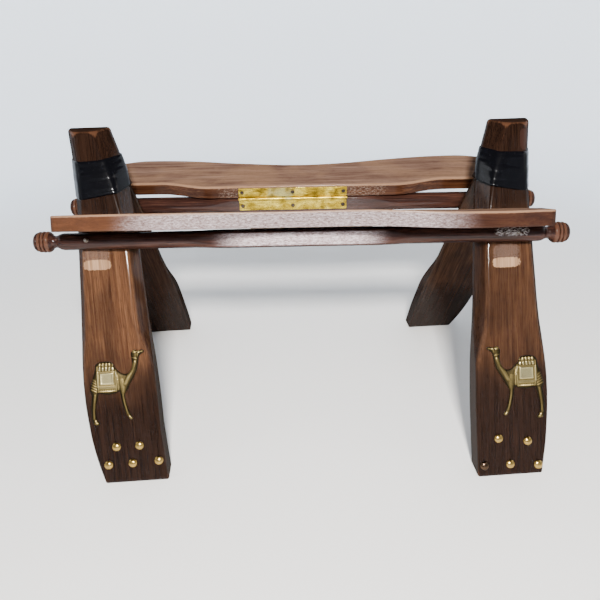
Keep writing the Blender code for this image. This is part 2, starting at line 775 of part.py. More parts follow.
def build_camel(side, front):
    frame = camel_frame(side, front)
    spot, out, across, up = frame
    name = "camel_%s_%s" % (face_name(front), side_name(side))
    outline = [(u * 0.001, v * 0.001) for u, v in CAMEL_OUTLINE]
    lift = 0.00025
    camel = plate(name, frame, outline, lift, lift + CAMEL_T)
    top = lift + CAMEL_T
    blanket = [(0.0100, 0.0372), (0.0200, 0.0360), (0.0290, 0.0372), (0.0292, 0.0560),
               (0.0262, 0.0690), (0.0200, 0.0705), (0.0120, 0.0700), (0.0085, 0.0660), (0.0095, 0.0500)]
    saddle = [(0.0118, 0.0480), (0.0262, 0.0480), (0.0258, 0.0600), (0.0124, 0.0600)]
    strap = [(0.0306, 0.0420), (0.0322, 0.0420), (0.0316, 0.0600), (0.0290, 0.0648), (0.0280, 0.0636),
             (0.0298, 0.0590)]
    tassel = [(0.0028, 0.0370), (0.0078, 0.0385), (0.0072, 0.0560), (0.0048, 0.0540)]
    extras = [
        plate("blanket", frame, blanket, top - 0.0006, top + 0.0007, 0.0004),
        plate("saddle", frame, saddle, top - 0.0004, top + 0.0016, 0.0005),
        plate("strap", frame, strap, top - 0.0006, top + 0.0006),
        plate("tassel", frame, tassel, top - 0.0006, top + 0.0006),
    ]
    for i in range(4):
        u = 0.0130 + 0.0040 * i
        bead = [(u - 0.0012, 0.0622), (u + 0.0012, 0.0622), (u + 0.0012, 0.0668), (u - 0.0012, 0.0668)]
        extras.append(plate("bead", frame, bead, top - 0.0004, top + 0.0014))
    for u, v in CAMEL_PINS:
        pin = spot + across * u + up * v
        profile = [(lift + 0.0006, 0.0009), (-0.0070, 0.0009), (-0.0082, 0.0003)]
        extras.append(lathe("pin", pin, out, profile, 8))
    join_solid(camel, extras)
    return camel


# ------------------------------------------------------------------ materials
# the start of a node's name: colour, roughness, metallic
FINISHES = {
    "leg_dowel": ((0.55, 0.40, 0.25), 0.70, 0.0),
    "leg": ((0.30, 0.14, 0.075), 0.32, 0.0),
    "rail": ((0.27, 0.14, 0.10), 0.35, 0.0),
    "seat_board": ((0.38, 0.20, 0.12), 0.42, 0.0),
    "tape": ((0.02, 0.02, 0.025), 0.22, 0.0),
    "hinge": ((0.74, 0.60, 0.26), 0.35, 1.0),
    "screw": ((0.50, 0.47, 0.42), 0.45, 1.0),
    "nail": ((0.50, 0.47, 0.42), 0.45, 1.0),
    "camel": ((0.46, 0.38, 0.20), 0.38, 1.0),
    "tack": ((0.72, 0.52, 0.22), 0.25, 1.0),
}


def paint(obj, kind):
    colour, roughness, metallic = FINISHES[kind]
    material = bpy.data.materials.new(obj.name)
    material.use_nodes = True
    shader = material.node_tree.nodes["Principled BSDF"]
    shader.inputs["Base Color"].default_value = (*colour, 1.0)
    shader.inputs["Roughness"].default_value = roughness
    shader.inputs["Metallic"].default_value = metallic
    obj.data.materials.clear()
    obj.data.materials.append(material)


def paint_all():
    for obj in bpy.data.objects:
        for kind in FINISHES:
            if obj.name.startswith(kind):
                paint(obj, kind)
                break


# ------------------------------------------------------------------ build
def build_all():
    for obj in list(bpy.data.objects):
        bpy.data.objects.remove(obj)
    for side in (-1, 1):
        for front in (True, False):
            build_leg(side, front)
            build_nail(side, front)
            build_camel(side, front)
            for number in range(len(TACK_SPOTS[side])):
                build_tack(side, front, number)
        build_dowel(side)
        build_tape(side)
    for front in (True, False):
        build_rail(front)
        build_board(front)
        build_pin(front)
        for on_board in (True, False):
            build_leaf(front, on_board)
            for spot in leaf_screws(front, on_board):
                build_screw(front, on_board, spot)
    paint_all()


build_all()
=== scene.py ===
"""Looks of the camel-saddle stool frame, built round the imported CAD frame.

Metres. X runs along the rails, -Y is the show side, Z is up, the floor is z = 0.
"""

import math

import bmesh
import bpy
import numpy as np
from mathutils import Matrix, Vector, noise


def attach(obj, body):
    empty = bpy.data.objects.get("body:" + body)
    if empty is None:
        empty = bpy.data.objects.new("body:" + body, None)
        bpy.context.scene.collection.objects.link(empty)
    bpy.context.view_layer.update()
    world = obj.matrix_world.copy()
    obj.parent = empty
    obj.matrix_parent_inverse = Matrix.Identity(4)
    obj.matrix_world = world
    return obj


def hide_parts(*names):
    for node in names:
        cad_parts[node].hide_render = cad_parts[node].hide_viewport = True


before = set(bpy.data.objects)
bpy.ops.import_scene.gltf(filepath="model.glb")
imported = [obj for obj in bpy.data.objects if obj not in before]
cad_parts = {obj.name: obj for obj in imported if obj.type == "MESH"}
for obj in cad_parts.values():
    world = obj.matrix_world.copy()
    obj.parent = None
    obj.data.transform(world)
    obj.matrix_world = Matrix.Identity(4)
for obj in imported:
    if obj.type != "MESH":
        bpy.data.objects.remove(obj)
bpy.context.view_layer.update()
noise.seed_set(7)           # the same hand-made unevenness on every run

# ---- sizes of the frame
RAIL_HALF = 0.305
RAIL_Y = 0.0600
RAIL_Z = 0.2506
ROD_R = 0.0097
FLAT_H = 0.0095
FLAT_HALF = 0.086
RAIL_SHIFT = 0.0012
RAIL_ROLL = {True: math.radians(12.0), False: 0.0}
BACK_RAIL_FAT = 0.12

LEG_SLOPE = math.tan(math.radians(28.2))
FOOT_Y = 0.1833
LEG_T = 0.0250
LEG_TOP = 0.3600
SPLAY = 0.056
RACK = math.radians(4.0)
END_X = 0.2163
LEAN_FOOT = 0.0040
LEAN_RATE = 0.0095
FACET_DEPTH = 0.0195

BOARD_T = 0.0175
BOARD_HALF = 0.2708
BOARD_SHIFT = 0.0010
BOARD_TILT = {True: math.radians(20.5), False: math.radians(17.0)}
BOARD_DROOP = math.radians(3.6)
BOARD_MID = 0.0500
BOARD_HUMP = 0.0165
BOARD_BACK = 0.0110
BOARD_STEPS = 150
BOARD_END = 9

HINGE_LEN = 0.1390
HINGE_SHIFT = 0.0110
HINGE_KNUCKLES = 7
KNUCKLE_R = 0.0021
LEAF_T = 0.0011
LEAF_TOP = 0.0155
LEAF_ROOT = 0.0020
KNUCKLE_GAP = 0.00022
AXIS_OUT = 0.0022
LEAF_FACE = AXIS_OUT - 0.00005
AXIS_GAP = 0.00015

SCREW_HEAD_R = 0.0026
TACK_R = 0.0054
TACK_H = 0.0030
NAIL_X = 0.2440
LIFT = 0.00025
TAPE_LOW = 0.2925
TAPE_HIGH = 0.3302

# height, inner edge, outer edge, inner facet width, outer facet width
LEG_STATIONS = [
    (0.000, 0.1810, 0.2490, 0.0010, 0.0010),
    (0.012, 0.1805, 0.2525, 0.0010, 0.0010),
    (0.028, 0.1800, 0.2565, 0.0010, 0.0010),
    (0.048, 0.1795, 0.2600, 0.0010, 0.0010),
    (0.075, 0.1795, 0.2625, 0.0010, 0.0012),
    (0.098, 0.1798, 0.2632, 0.0012, 0.0020),
    (0.112, 0.1803, 0.2634, 0.0022, 0.0034),
    (0.126, 0.1812, 0.2632, 0.0046, 0.0052),
    (0.139, 0.1822, 0.2628, 0.0072, 0.0068),
    (0.152, 0.1832, 0.2620, 0.0092, 0.0080),
    (0.172, 0.1842, 0.2605, 0.0104, 0.0088),
    (0.205, 0.1850, 0.2582, 0.0100, 0.0092),
    (0.235, 0.1855, 0.2560, 0.0098, 0.0094),
    (0.265, 0.1868, 0.2535, 0.0106, 0.0094),
    (0.290, 0.1886, 0.2520, 0.0122, 0.0092),
    (0.310, 0.1915, 0.2515, 0.0136, 0.0090),
    (0.330, 0.1962, 0.2518, 0.0144, 0.0088),
    (0.346, 0.2012, 0.2526, 0.0144, 0.0086),
    (0.360, 0.2055, 0.2535, 0.0142, 0.0084),
]

# hand-sawn differences at the front feet: height, move of the edge
LEFT_FOOT_IN = [(0.000, -0.0045), (0.012, -0.0030), (0.028, -0.0015), (0.048, 0.0)]
RIGHT_FOOT_OUT = [
    (0.000, 0.0080), (0.012, 0.0065), (0.028, 0.0050), (0.048, 0.0035), (0.075, 0.0025),
    (0.098, 0.0020), (0.126, 0.0010), (0.152, 0.0),
]

# turned knob: distance in from the end, radius
FINIAL = [
    (0.0000, 0.0012), (0.0003, 0.0046), (0.0014, 0.0080), (0.0030, 0.0100), (0.0046, 0.0107),
    (0.0053, 0.0094), (0.0061, 0.0112), (0.0076, 0.0118), (0.0090, 0.0114), (0.0098, 0.0098),
    (0.0106, 0.0115), (0.0119, 0.0121), (0.0131, 0.0117), (0.0139, 0.0100), (0.0148, 0.0116),
    (0.0162, 0.0120), (0.0180, 0.0116), (0.0200, 0.0101), (0.0222, 0.0078), (0.0250, 0.0067),
    (0.0278, 0.0074), (0.0304, 0.0088), (0.0340, 0.0096), (0.0380, 0.0097),
]

# camel outline in millimetres, head to the right, standing on v = 0
CAMEL_OUTLINE = [
    (1.7, 2.4), (5.0, 0.4), (8.6, 0.0), (9.2, 3.0), (5.9, 6.9), (5.2, 17.5), (7.2, 27.0),
    (9.8, 36.0), (13.0, 35.8), (20.5, 34.4), (28.0, 35.8), (32.2, 37.0), (33.6, 27.0),
    (36.2, 16.5), (38.6, 9.4), (41.8, 4.6), (45.0, 5.6), (43.4, 9.0), (40.4, 16.8),
    (38.0, 27.0), (37.8, 33.6), (40.6, 39.0), (44.6, 47.0), (48.6, 54.0), (52.0, 61.8),
    (54.0, 71.5), (55.0, 76.5), (57.8, 79.6), (60.6, 81.6), (60.0, 84.0), (56.6, 84.2),
    (53.0, 83.2), (50.4, 85.0), (48.2, 83.4), (46.2, 80.6), (46.6, 76.0), (47.0, 70.0),
    (46.4, 64.4), (43.8, 59.6), (39.6, 57.2), (34.4, 58.8), (30.4, 63.0), (27.6, 66.4),
    (25.4, 71.0), (21.0, 72.6), (14.0, 72.6), (8.2, 70.0), (6.6, 62.5), (4.2, 54.6),
    (1.8, 46.6), (0.5, 40.0), (2.2, 33.8), (1.2, 26.0), (0.8, 15.0),
]

# ridges and marks of the camel in millimetres: rise, start, stop, half width
CAMEL_RIDGES = [
    (0.55, (31.2, 40.0), (30.8, 52.0), 0.95), (0.55, (30.8, 52.0), (29.2, 62.5), 0.95),
    (0.45, (9.0, 44.0), (9.2, 67.0), 0.8), (0.55, (5.6, 1.5), (5.8, 1.6), 2.6),
    (0.55, (43.2, 6.0), (43.4, 6.1), 2.4), (0.55, (5.4, 5.2), (5.6, 5.3), 1.6),
    (0.55, (41.6, 8.2), (41.8, 8.3), 1.5), (0.50, (49.0, 82.2), (58.6, 82.3), 1.5),
    (0.45, (48.6, 83.6), (50.2, 84.6), 1.1), (-0.55, (52.4, 81.6), (52.7, 81.6), 0.75),
    (-0.40, (57.0, 81.2), (59.8, 82.0), 0.5), (0.45, (53.2, 77.0), (54.8, 83.4), 0.6),
    (0.40, (46.4, 76.0), (52.6, 74.0), 0.6), (0.45, (39.0, 46.0), (50.0, 70.0), 2.2),
    (0.30, (34.6, 50.0), (36.2, 36.0), 2.6), (0.30, (36.0, 33.0), (39.6, 9.0), 1.3),
    (0.30, (5.6, 34.0), (3.6, 8.0), 1.5),
]

# screw from the middle of its head to its point: share of the head radius, height
SCREW_RINGS = [
    (0.16, 0.00118), (0.32, 0.00112), (0.48, 0.00102), (0.62, 0.00090), (0.76, 0.00072),
    (0.88, 0.00052), (0.96, 0.00032), (1.0, 0.0001), (0.94, -0.0002), (0.5, -0.0003),
    (0.48, -0.0085), (0.1, -0.0100),
]

# tacks on a left and on a right leg: distance out, height
TACK_SPOTS = {
    -1: [(0.2323, 0.0370), (0.2060, 0.0370), (0.2432, 0.0190), (0.2158, 0.0195), (0.1859, 0.0205)],
    1: [(0.2397, 0.0338), (0.2054, 0.0380), (0.2518, 0.0092), (0.2188, 0.0115), (0.1884, 0.0115)],
}
# camel plate on a left and on a right leg: distance out, height, lean inward, stretch
CAMEL_PLACES = {-1: (0.2578, 0.0600, math.radians(3.0), 1.06), 1: (0.2612, 0.0565, math.radians(1.5), 1.10)}

BOWL_R = 1.90               # round backdrop
BOWL_GLOW = 0.74

SIDES = {"left": -1, "right": 1}
FACES = {"front": True, "back": False}


# ---- small helpers
def ease(value):
    value = min(1.0, max(0.0, value))
    return value * value * (3.0 - 2.0 * value)


def wobble(point, scale, size, seed=0.0):
    """Smooth noise vector, scale in waves per metre, size in metres."""
    return noise.noise_vector(Vector(point) * scale + Vector((seed, 3.1 * seed, 7.7))) * size


def along_x(x):
    return Vector((x, 0.0, 0.0))


def circle(count, offset=0.0):
    """Turn, cosine and sine of each step round a full circle."""
    for i in range(count):
        turn = 2.0 * math.pi * (i + offset) / count
        yield turn, math.cos(turn), math.sin(turn)


def smooth_table(table, value):
    """Row of a table at value, with a smooth curve through its rows."""
    keys = [row[0] for row in table]
    if value <= keys[0]:
        return table[0][1:]
    if value >= keys[-1]:
        return table[-1][1:]
    i = max(k for k in range(len(keys) - 1) if keys[k] <= value)
    span = keys[i + 1] - keys[i]
    part = (value - keys[i]) / span
    result = []
    for column in range(1, len(table[0])):
        here = table[i][column]
        there = table[i + 1][column]
        before = (there - here) / span
        leave = before
        arrive = before
        if i > 0:
            leave = (there - table[i - 1][column]) / (keys[i + 1] - keys[i - 1])
        if i + 2 < len(keys):
            arrive = (table[i + 2][column] - here) / (keys[i + 2] - keys[i])
        a = part * part * (3.0 - 2.0 * part)
        b = part * (1.0 - part) ** 2 * span
        c = part * part * (part - 1.0) * span
        result.append(here + (there - here) * a + leave * b + arrive * c)
    return tuple(result)


class Builder:
    """Collects vertices with a grain coordinate and a wear value, and makes one piece."""

    def __init__(self):
        self.points = []
        self.grain = []
        self.wear = []
        self.faces = []

    def add(self, point, grain, wear=0.0):
        self.points.append(Vector(point))
        self.grain.append(Vector(grain))
        self.wear.append(wear)
        return len(self.points) - 1

    def strip(self, low, high):
        count = len(low)
        for i in range(count):
            j = (i + 1) % count
            self.faces.append((low[i], low[j], high[j], high[i]))

    def cap(self, row, centre, flip=False):
        count = len(row)
        for i in range(count):
            j = (i + 1) % count
            if flip:
                self.faces.append((row[j], row[i], centre))
            else:
                self.faces.append((row[i], row[j], centre))

    def middle(self, row):
        count = float(len(row))
        point = sum((self.points[i] for i in row), Vector()) / count
        grain = sum((self.grain[i] for i in row), Vector()) / count
        return self.add(point, grain)

    def loft(self, rows, caps=True):
        for low, high in zip(rows, rows[1:]):
            self.strip(low, high)
        if caps:
            self.cap(rows[0], self.middle(rows[0]), True)
            self.cap(rows[-1], self.middle(rows[-1]))

    def mesh(self, name):
        mesh = bpy.data.meshes.new(name)
        mesh.from_pydata([tuple(p) for p in self.points], [], self.faces)
        grain = mesh.attributes.new("grain", "FLOAT_VECTOR", "POINT")
        grain.data.foreach_set("vector", [c for g in self.grain for c in g])
        wear = mesh.attributes.new("wear", "FLOAT", "POINT")
        wear.data.foreach_set("value", self.wear)
        bm = bmesh.new()
        bm.from_mesh(mesh)
        bmesh.ops.recalc_face_normals(bm, faces=bm.faces)
        bm.to_mesh(mesh)
        bm.free()
        return mesh


def place(name, mesh, material, node, body="frame", weighted=True):
    """Make the piece that stands for a CAD node and rides on its body."""
    piece = bpy.data.objects.new(name, mesh)
    bpy.context.scene.collection.objects.link(piece)
    mesh.materials.clear()
    mesh.materials.append(material)
    mesh.polygons.foreach_set("use_smooth", [True] * len(mesh.polygons))
    if weighted:
        piece.modifiers.new("even_normals", "WEIGHTED_NORMAL").weight = 70
    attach(piece, body)
    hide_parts(node)
    return piece


def turned(builder, start, axis, profile, segments, wear=None, shift=(0.0, 0.0, 0.0)):
    """Closed solid of revolution; profile is (distance along axis, radius)."""
    side = Vector((0.0, 0.0, 1.0)) if abs(axis.x) > 0.9 else along_x(1.0)
    first = (side - axis * axis.dot(side)).normalized()
    second = axis.cross(first)
    rows = []
    for (along, radius), amount in zip(profile, wear or [0.0] * len(profile)):
        row = []
        for _, cosine, sine in circle(segments):
            offset = (first * cosine + second * sine) * radius
            grain = Vector((radius * cosine, radius * sine, along)) + Vector(shift)
            row.append(builder.add(start + axis * along + offset, grain, amount))
        rows.append(row)
    builder.loft(rows)


# ---- material helpers
class Graph:
    """A material's node tree with short calls for the nodes used here."""

    def __init__(self, name):
        self.material = bpy.data.materials.new(name)
        self.material.use_nodes = True
        self.nodes = self.material.node_tree.nodes
        self.links = self.material.node_tree.links
        self.shader = self.nodes["Principled BSDF"]

    def put(self, socket, value):
        if isinstance(value, bpy.types.NodeSocket):
            self.links.new(value, socket)
        elif isinstance(value, (tuple, list)) and len(value) == 3 and socket.type == "RGBA":
            socket.default_value = (*value, 1.0)
        else:
            socket.default_value = value

    def set(self, **values):
        for name, value in values.items():
            self.put(self.shader.inputs[name.replace("_", " ")], value)

    def node(self, kind, inputs, **settings):
        """Outputs of a new node; inputs gives a value to a socket's name or number."""
        node = self.nodes.new("ShaderNode" + kind)
        for name, value in settings.items():
            setattr(node, name, value)
        for socket, value in inputs.items():
            self.put(node.inputs[socket], value)
        return node.outputs

    def attribute(self, name, output="Vector"):
        return self.node("Attribute", {}, attribute_name=name)[output]

    def parts(self, vector):
        return tuple(self.node("SeparateXYZ", {0: vector}))

    def stretch(self, vector, scale, shift):
        return self.node("Mapping", {"Vector": vector, "Scale": scale, "Location": shift})[0]

    def noise(self, vector, scale, detail, rough=0.55, twist=0.0):
        inputs = dict(Vector=vector, Scale=scale, Detail=detail, Roughness=rough, Distortion=twist)
        return self.node("TexNoise", inputs)["Fac"]

    def streaks(self, vector, scale, detail, rough, twist=0.0, seed=0.0):
        """Noise with its own waves per metre along each axis."""
        return self.noise(self.stretch(vector, scale, (seed, 0.0, 0.0)), 1.0, detail, rough, twist)

    def math(self, operation, a, b=0.0):
        return self.node("Math", {0: a, 1: b}, operation=operation)[0]

    def plus(self, a, b):
        return self.math("ADD", a, b)

    def times(self, first, *others):
        for other in others:
            first = self.math("MULTIPLY", first, other)
        return first

    def span(self, value, low, high, first=0.0, last=1.0):
        """Map low..high to first..last with soft ends."""
        inputs = {"Value": value, "From Min": low, "From Max": high, "To Min": first, "To Max": last}
        return self.node("MapRange", inputs, interpolation_type="SMOOTHSTEP")[0]

    def mix(self, amount, a, b):
        return self.node("Mix", {0: amount, 6: a, 7: b}, data_type="RGBA")[2]

    def ramp(self, value, *stops):
        node = self.nodes.new("ShaderNodeValToRGB")
        self.put(node.inputs[0], value)
        spots = node.color_ramp.elements
        while len(spots) < len(stops):
            spots.new(0.5)
        for spot, (at, colour) in zip(spots, stops):
            spot.position = at
            spot.color = (*colour, 1.0)
        return node.outputs[0]

    def patch(self, vector, centre, size, ragged, seed, soft=0.25):
        """1 inside a rounded box at centre, with ragged edges, 0 outside."""
        moved = self.node("VectorMath", {0: vector, 1: centre}, operation="SUBTRACT")[0]
        total = self.times(self.math("SUBTRACT", self.noise(
            self.stretch(vector, (1.0, 1.0, 1.0), (seed, seed, seed)), 420.0, 3.0), 0.5), ragged)
        for part, half in zip(self.parts(moved), size):
            if half:
                ratio = self.math("ABSOLUTE", self.math("DIVIDE", part, half))
                total = self.plus(total, self.math("POWER", ratio, 4.0))
        return self.span(total, 1.0 - soft, 1.0 + soft, 1.0, 0.0)

    def bump(self, height, strength, distance=0.0002):
        return self.node("Bump", {"Strength": strength, "Distance": distance, "Height": height})[0]

    def worn_gloss(self, weight):
        """Coat weight of old varnish, which dies away toward a grazing view."""
        facing = self.node("LayerWeight", {"Blend": 0.5})["Facing"]
        return self.span(facing, 0.45, 0.85, weight, weight * 0.12)


class Wood(Graph):
    """Varnished hardwood: streaks, pores and slow changes of tone, along grain Z."""

    def __init__(self, name, seed, share, tight=1.0):
        super().__init__(name)
        self.grain = self.attribute("grain")
        self.wear = self.attribute("wear", "Fac")
        bent = self.stretch(self.grain, (1.0, 1.0, 1.0), (seed, seed * 1.7, seed * 0.31))
        self.streak = self.streaks(bent, (260.0 * tight, 260.0 * tight, 7.0), 5.0, 0.62, 0.6)
        self.fine = self.streaks(bent, (1100.0, 1100.0, 34.0), 3.0, 0.6, 0.2)
        self.tone = self.streaks(bent, (30.0, 30.0, 16.0), 3.0, 0.5, 0.4)
        self.pores = self.span(self.streaks(bent, (2100.0, 2100.0, 120.0), 2.0, 0.5), 0.30, 0.44)
        self.blend = self.plus(self.times(self.streak, share), self.times(self.fine, 1.0 - share))

    def pored(self, colour, strength, dark):
        return self.mix(self.span(self.pores, 0.0, 1.0, strength, 0.0), colour, dark)

    def rubbed(self, grit, lift, low, high):
        """How far the finish is rubbed off, from the wear of the edges."""
        return self.span(self.times(self.wear, self.plus(grit, lift)), low, high)

    def finish(self, colour, rough, gloss, coat_rough, pore_depth, relief):
        height = self.plus(self.times(self.pores, pore_depth), self.times(self.fine, 0.5))
        self.set(Base_Color=colour, Roughness=rough, Normal=self.bump(height, relief, 0.00025))
        self.set(Coat_Weight=gloss, Coat_Roughness=coat_rough, Specular_IOR_Level=0.0)
        return self.material


# ---- materials
def leg_wood(name, seed, gold_and_light=1.0, shine=0.40, patch_centre=None, patch_size=None, stain=None):
    graph = Wood(name, seed, 0.50)
    grain = graph.grain
    tone = graph.tone
    depth, height = graph.parts(grain)[1:]
    dark_wood = graph.ramp(graph.blend, (0.34, (0.0052, 0.0023, 0.0014)), (0.48, (0.0112, 0.0050, 0.0028)),
                           (0.63, (0.0205, 0.0094, 0.0054)))
    gold_wood = graph.ramp(graph.blend, (0.34, (0.0290, 0.0110, 0.0048)), (0.48, (0.0680, 0.0285, 0.0128)),
                           (0.63, (0.1300, 0.0590, 0.0270)))
    # golden band up the leg, partly the wood's own tone and partly painted light: its strength, set per leg,
    # follows how brightly each leg is lit
    low = graph.span(graph.plus(height, graph.times(tone, 0.06)), 0.10, 0.185)
    high = graph.span(graph.plus(height, graph.times(tone, 0.03)), 0.262, 0.300, 1.0, 0.0)
    gold = graph.times(low, high, graph.span(tone, 0.34, 0.62, 0.55 * gold_and_light, gold_and_light))
    # painted shade: the sides and the deeper part of the facets get only a quarter of the band, so the front
    # face that meets the light stays lighter
    face = graph.span(depth, 0.0012, 0.0050, 1.0, 0.25)
    colour = graph.mix(graph.times(gold, face), dark_wood, gold_wood)
    colour = graph.pored(colour, 0.55, (0.005, 0.002, 0.0015))
    grit = graph.streaks(grain, (300.0, 300.0, 120.0), 5.0, 0.7, seed=seed)
    rub = graph.times(graph.rubbed(grit, 0.42, 0.54, 0.84), 0.50)
    colour = graph.mix(rub, colour, (0.110, 0.046, 0.023))
    end_grain = graph.span(height, LEG_TOP - 0.0010, LEG_TOP - 0.0006, 0.0, 0.95)
    colour = graph.mix(end_grain, colour, graph.mix(grit, (0.006, 0.003, 0.002), (0.026, 0.013, 0.008)))
    rough = graph.span(tone, 0.3, 0.7, 0.18, 0.26)
    gloss = graph.times(graph.worn_gloss(shine), graph.math("SUBTRACT", 1.0, end_grain))
    if patch_centre:
        x, y, z = patch_centre
        patch = graph.patch(grain, patch_centre, patch_size, 1.6, seed)
        scuff_size = (patch_size[0] * 0.95, 0.004, 0.0085)
        scuff = graph.patch(grain, (x, y, z + 0.010), scuff_size, 3.4, seed + 3.0, 0.6)
        speck = graph.span(graph.noise(grain, 1900.0, 2.0, 0.8), 0.44, 0.64)
        colour = graph.mix(scuff, colour, graph.mix(speck, colour, (0.150, 0.105, 0.085)))
        bare = graph.mix(graph.span(graph.streak, 0.35, 0.65), (0.190, 0.105, 0.056), (0.330, 0.200, 0.118))
        colour = graph.mix(patch, colour, bare)
        bald = graph.math("MAXIMUM", patch, scuff)
        rough = graph.mix(bald, rough, (0.62, 0.62, 0.62))
        gloss = graph.times(gloss, graph.math("SUBTRACT", 1.0, graph.times(bald, 0.8)))
    if stain:
        mark = graph.patch(grain, stain, (0.0085, 0.004, 0.011), 0.7, seed + 5.0)
        colour = graph.mix(graph.times(mark, 0.8), colour, (0.028, 0.012, 0.008))
    return graph.finish(colour, rough, gloss, 0.11, 0.7, 0.35)


def rail_wood(name, seed, sheen_and_glue):
    graph = Wood(name, seed, 0.6, 0.8)
    far = graph.math("ABSOLUTE", graph.parts(graph.grain)[2])
    speck = graph.streaks(graph.grain, (900.0, 900.0, 300.0), 4.0, 0.7)
    colour = graph.ramp(graph.blend, (0.33, (0.006, 0.003, 0.0025)), (0.48, (0.022, 0.009, 0.0065)),
                        (0.62, (0.055, 0.022, 0.014)))
    # painted reflection: the flat faces in the rail's middle get a pale pinkish-grey colour in place of a
    # reflection of the light
    painted_sheen = graph.ramp(speck, (0.38, (0.230, 0.160, 0.155)), (0.52, (0.480, 0.385, 0.385)),
                       (0.66, (0.720, 0.640, 0.650)))
    middle = graph.span(far, 0.055, 0.105, 1.0, 0.0)
    # mask of the painted reflection: flat faces in the middle, strong on the front rail and faint on the
    # back rail
    painted_sheen_mask = graph.times(middle, graph.wear, 0.88 if sheen_and_glue else 0.05)
    colour = graph.pored(graph.mix(painted_sheen_mask, colour, painted_sheen), 0.45, (0.012, 0.005, 0.004))
    end = graph.span(far, RAIL_HALF - 0.026, RAIL_HALF - 0.018)
    rub = graph.times(graph.rubbed(speck, 0.45, 0.5, 0.8), end, 0.55)
    colour = graph.mix(rub, colour, graph.mix(speck, (0.050, 0.020, 0.011), (0.140, 0.058, 0.029)))
    if sheen_and_glue:
        glue_at = (0.008, 0.004, NAIL_X - 0.006)
        glue = graph.patch(graph.grain, glue_at, (0.012, 0.0055, 0.018), 2.6, seed, 0.5)
        flakes = graph.times(glue, graph.span(speck, 0.47, 0.58), 0.75)
        colour = graph.mix(flakes, colour, (0.480, 0.430, 0.400))
    rough = graph.span(graph.tone, 0.3, 0.7, 0.20, 0.30)
    return graph.finish(colour, rough, graph.worn_gloss(0.42), 0.12, 0.6, 0.3)


def board_wood(name, seed, edge_tone_and_sheen):
    graph = Wood(name, seed, 0.62, 0.7)
    across, up, along = graph.parts(graph.grain)
    speck = graph.streaks(graph.grain, (700.0, 700.0, 260.0), 5.0, 0.75)
    pale = graph.ramp(graph.blend, (0.32, (0.042, 0.021, 0.0145)), (0.48, (0.108, 0.061, 0.043)),
                      (0.64, (0.186, 0.115, 0.084)))
    brown = graph.ramp(graph.blend, (0.33, (0.012, 0.0040, 0.0020)), (0.50, (0.040, 0.0140, 0.0062)),
                       (0.64, (0.090, 0.0340, 0.0145)))
    warm = graph.times(graph.span(graph.tone, 0.42, 0.66), 0.5)
    top = graph.span(up, BOARD_T - 0.003, BOARD_T - 0.001)
    colour = graph.mix(top, brown, graph.mix(warm, pale, (0.205, 0.118, 0.070)))
    # front board only: its outer edge gets its own tone from end to end, and a painted sheen
    if edge_tone_and_sheen:
        outer = graph.span(across, 0.028, 0.040)
        end_tone = graph.mix(graph.span(along, -0.20, 0.20), (0.090, 0.037, 0.018), (0.026, 0.012, 0.009))
        colour = graph.mix(graph.times(outer, graph.math("SUBTRACT", 1.0, top), 0.55), colour, end_tone)
        # painted reflection: a pale pinkish-grey sheen painted on the middle of the outer edge face, fading
        # out toward the ends
        painted_sheen = graph.ramp(speck, (0.36, (0.110, 0.070, 0.065)), (0.50, (0.270, 0.210, 0.205)),
                           (0.66, (0.480, 0.420, 0.425)))
        side = graph.span(up, BOARD_T - 0.0012, BOARD_T - 0.0004, 1.0, 0.25)
        far = graph.math("ABSOLUTE", graph.plus(along, 0.010))
        sheen_falloff = graph.span(graph.plus(far, graph.times(graph.tone, 0.03)), 0.150, 0.215, 1.0, 0.0)
        colour = graph.mix(graph.times(outer, side, sheen_falloff, 0.85), colour, painted_sheen)
    inner = graph.span(across, 0.0006, 0.0016, 1.0, 0.0)
    near = graph.patch(graph.grain, (0.0, 0.008, 0.0), (0.0, 0.02, 0.105), 1.2, seed)
    dusty = graph.mix(graph.span(speck, 0.48, 0.60), brown, (0.170, 0.120, 0.090))
    colour = graph.mix(graph.times(inner, near, 0.75), colour, dusty)
    colour = graph.pored(colour, 0.4, (0.030, 0.012, 0.007))
    rub = graph.times(graph.rubbed(speck, 0.45, 0.50, 0.80), 0.65)
    colour = graph.mix(rub, colour, (0.270, 0.150, 0.085))
    rough = graph.span(graph.tone, 0.3, 0.7, 0.26, 0.38)
    return graph.finish(colour, rough, graph.worn_gloss(0.28), 0.16, 0.5, 0.3)


def aged_brass(name, seed, green=0.0):
    graph = Graph(name)
    grain = graph.attribute("grain")
    blotch = graph.streaks(grain, (90.0, 90.0, 60.0), 4.0, 0.6, 0.5, seed)
    fine = graph.streaks(grain, (900.0, 900.0, 700.0), 4.0, 0.7, seed=seed)
    scratch = graph.streaks(grain, (1600.0, 1600.0, 60.0), 2.0, 0.5, 1.5)
    colour = graph.ramp(blotch, (0.34, (0.140, 0.088, 0.008)), (0.50, (0.420, 0.290, 0.026)),
                        (0.66, (0.720, 0.560, 0.090)))
    colour = graph.mix(graph.span(fine, 0.50, 0.62, 0.0, 0.70), colour, (0.070, 0.042, 0.010))
    colour = graph.mix(graph.span(scratch, 0.57, 0.64, 0.0, 0.80), colour, (0.034, 0.020, 0.007))
    metal = 1.0
    if green:
        patch = graph.patch(grain, (0.0, 0.0, green), (0.0, 0.0, 0.016), 3.2, seed, 0.7)
        crust = graph.mix(fine, (0.040, 0.080, 0.060), (0.130, 0.190, 0.150))
        amount = graph.times(patch, graph.span(blotch, 0.42, 0.60, 0.35, 1.0))
        colour = graph.mix(graph.times(amount, 0.50), colour, crust)
        metal = graph.span(amount, 0.0, 1.0, 1.0, 0.3)
    rough = graph.span(fine, 0.35, 0.65, 0.26, 0.48)
    normal = graph.bump(graph.plus(fine, scratch), 0.25)
    graph.set(Base_Color=colour, Metallic=metal, Roughness=rough, Normal=normal)
    return graph.material


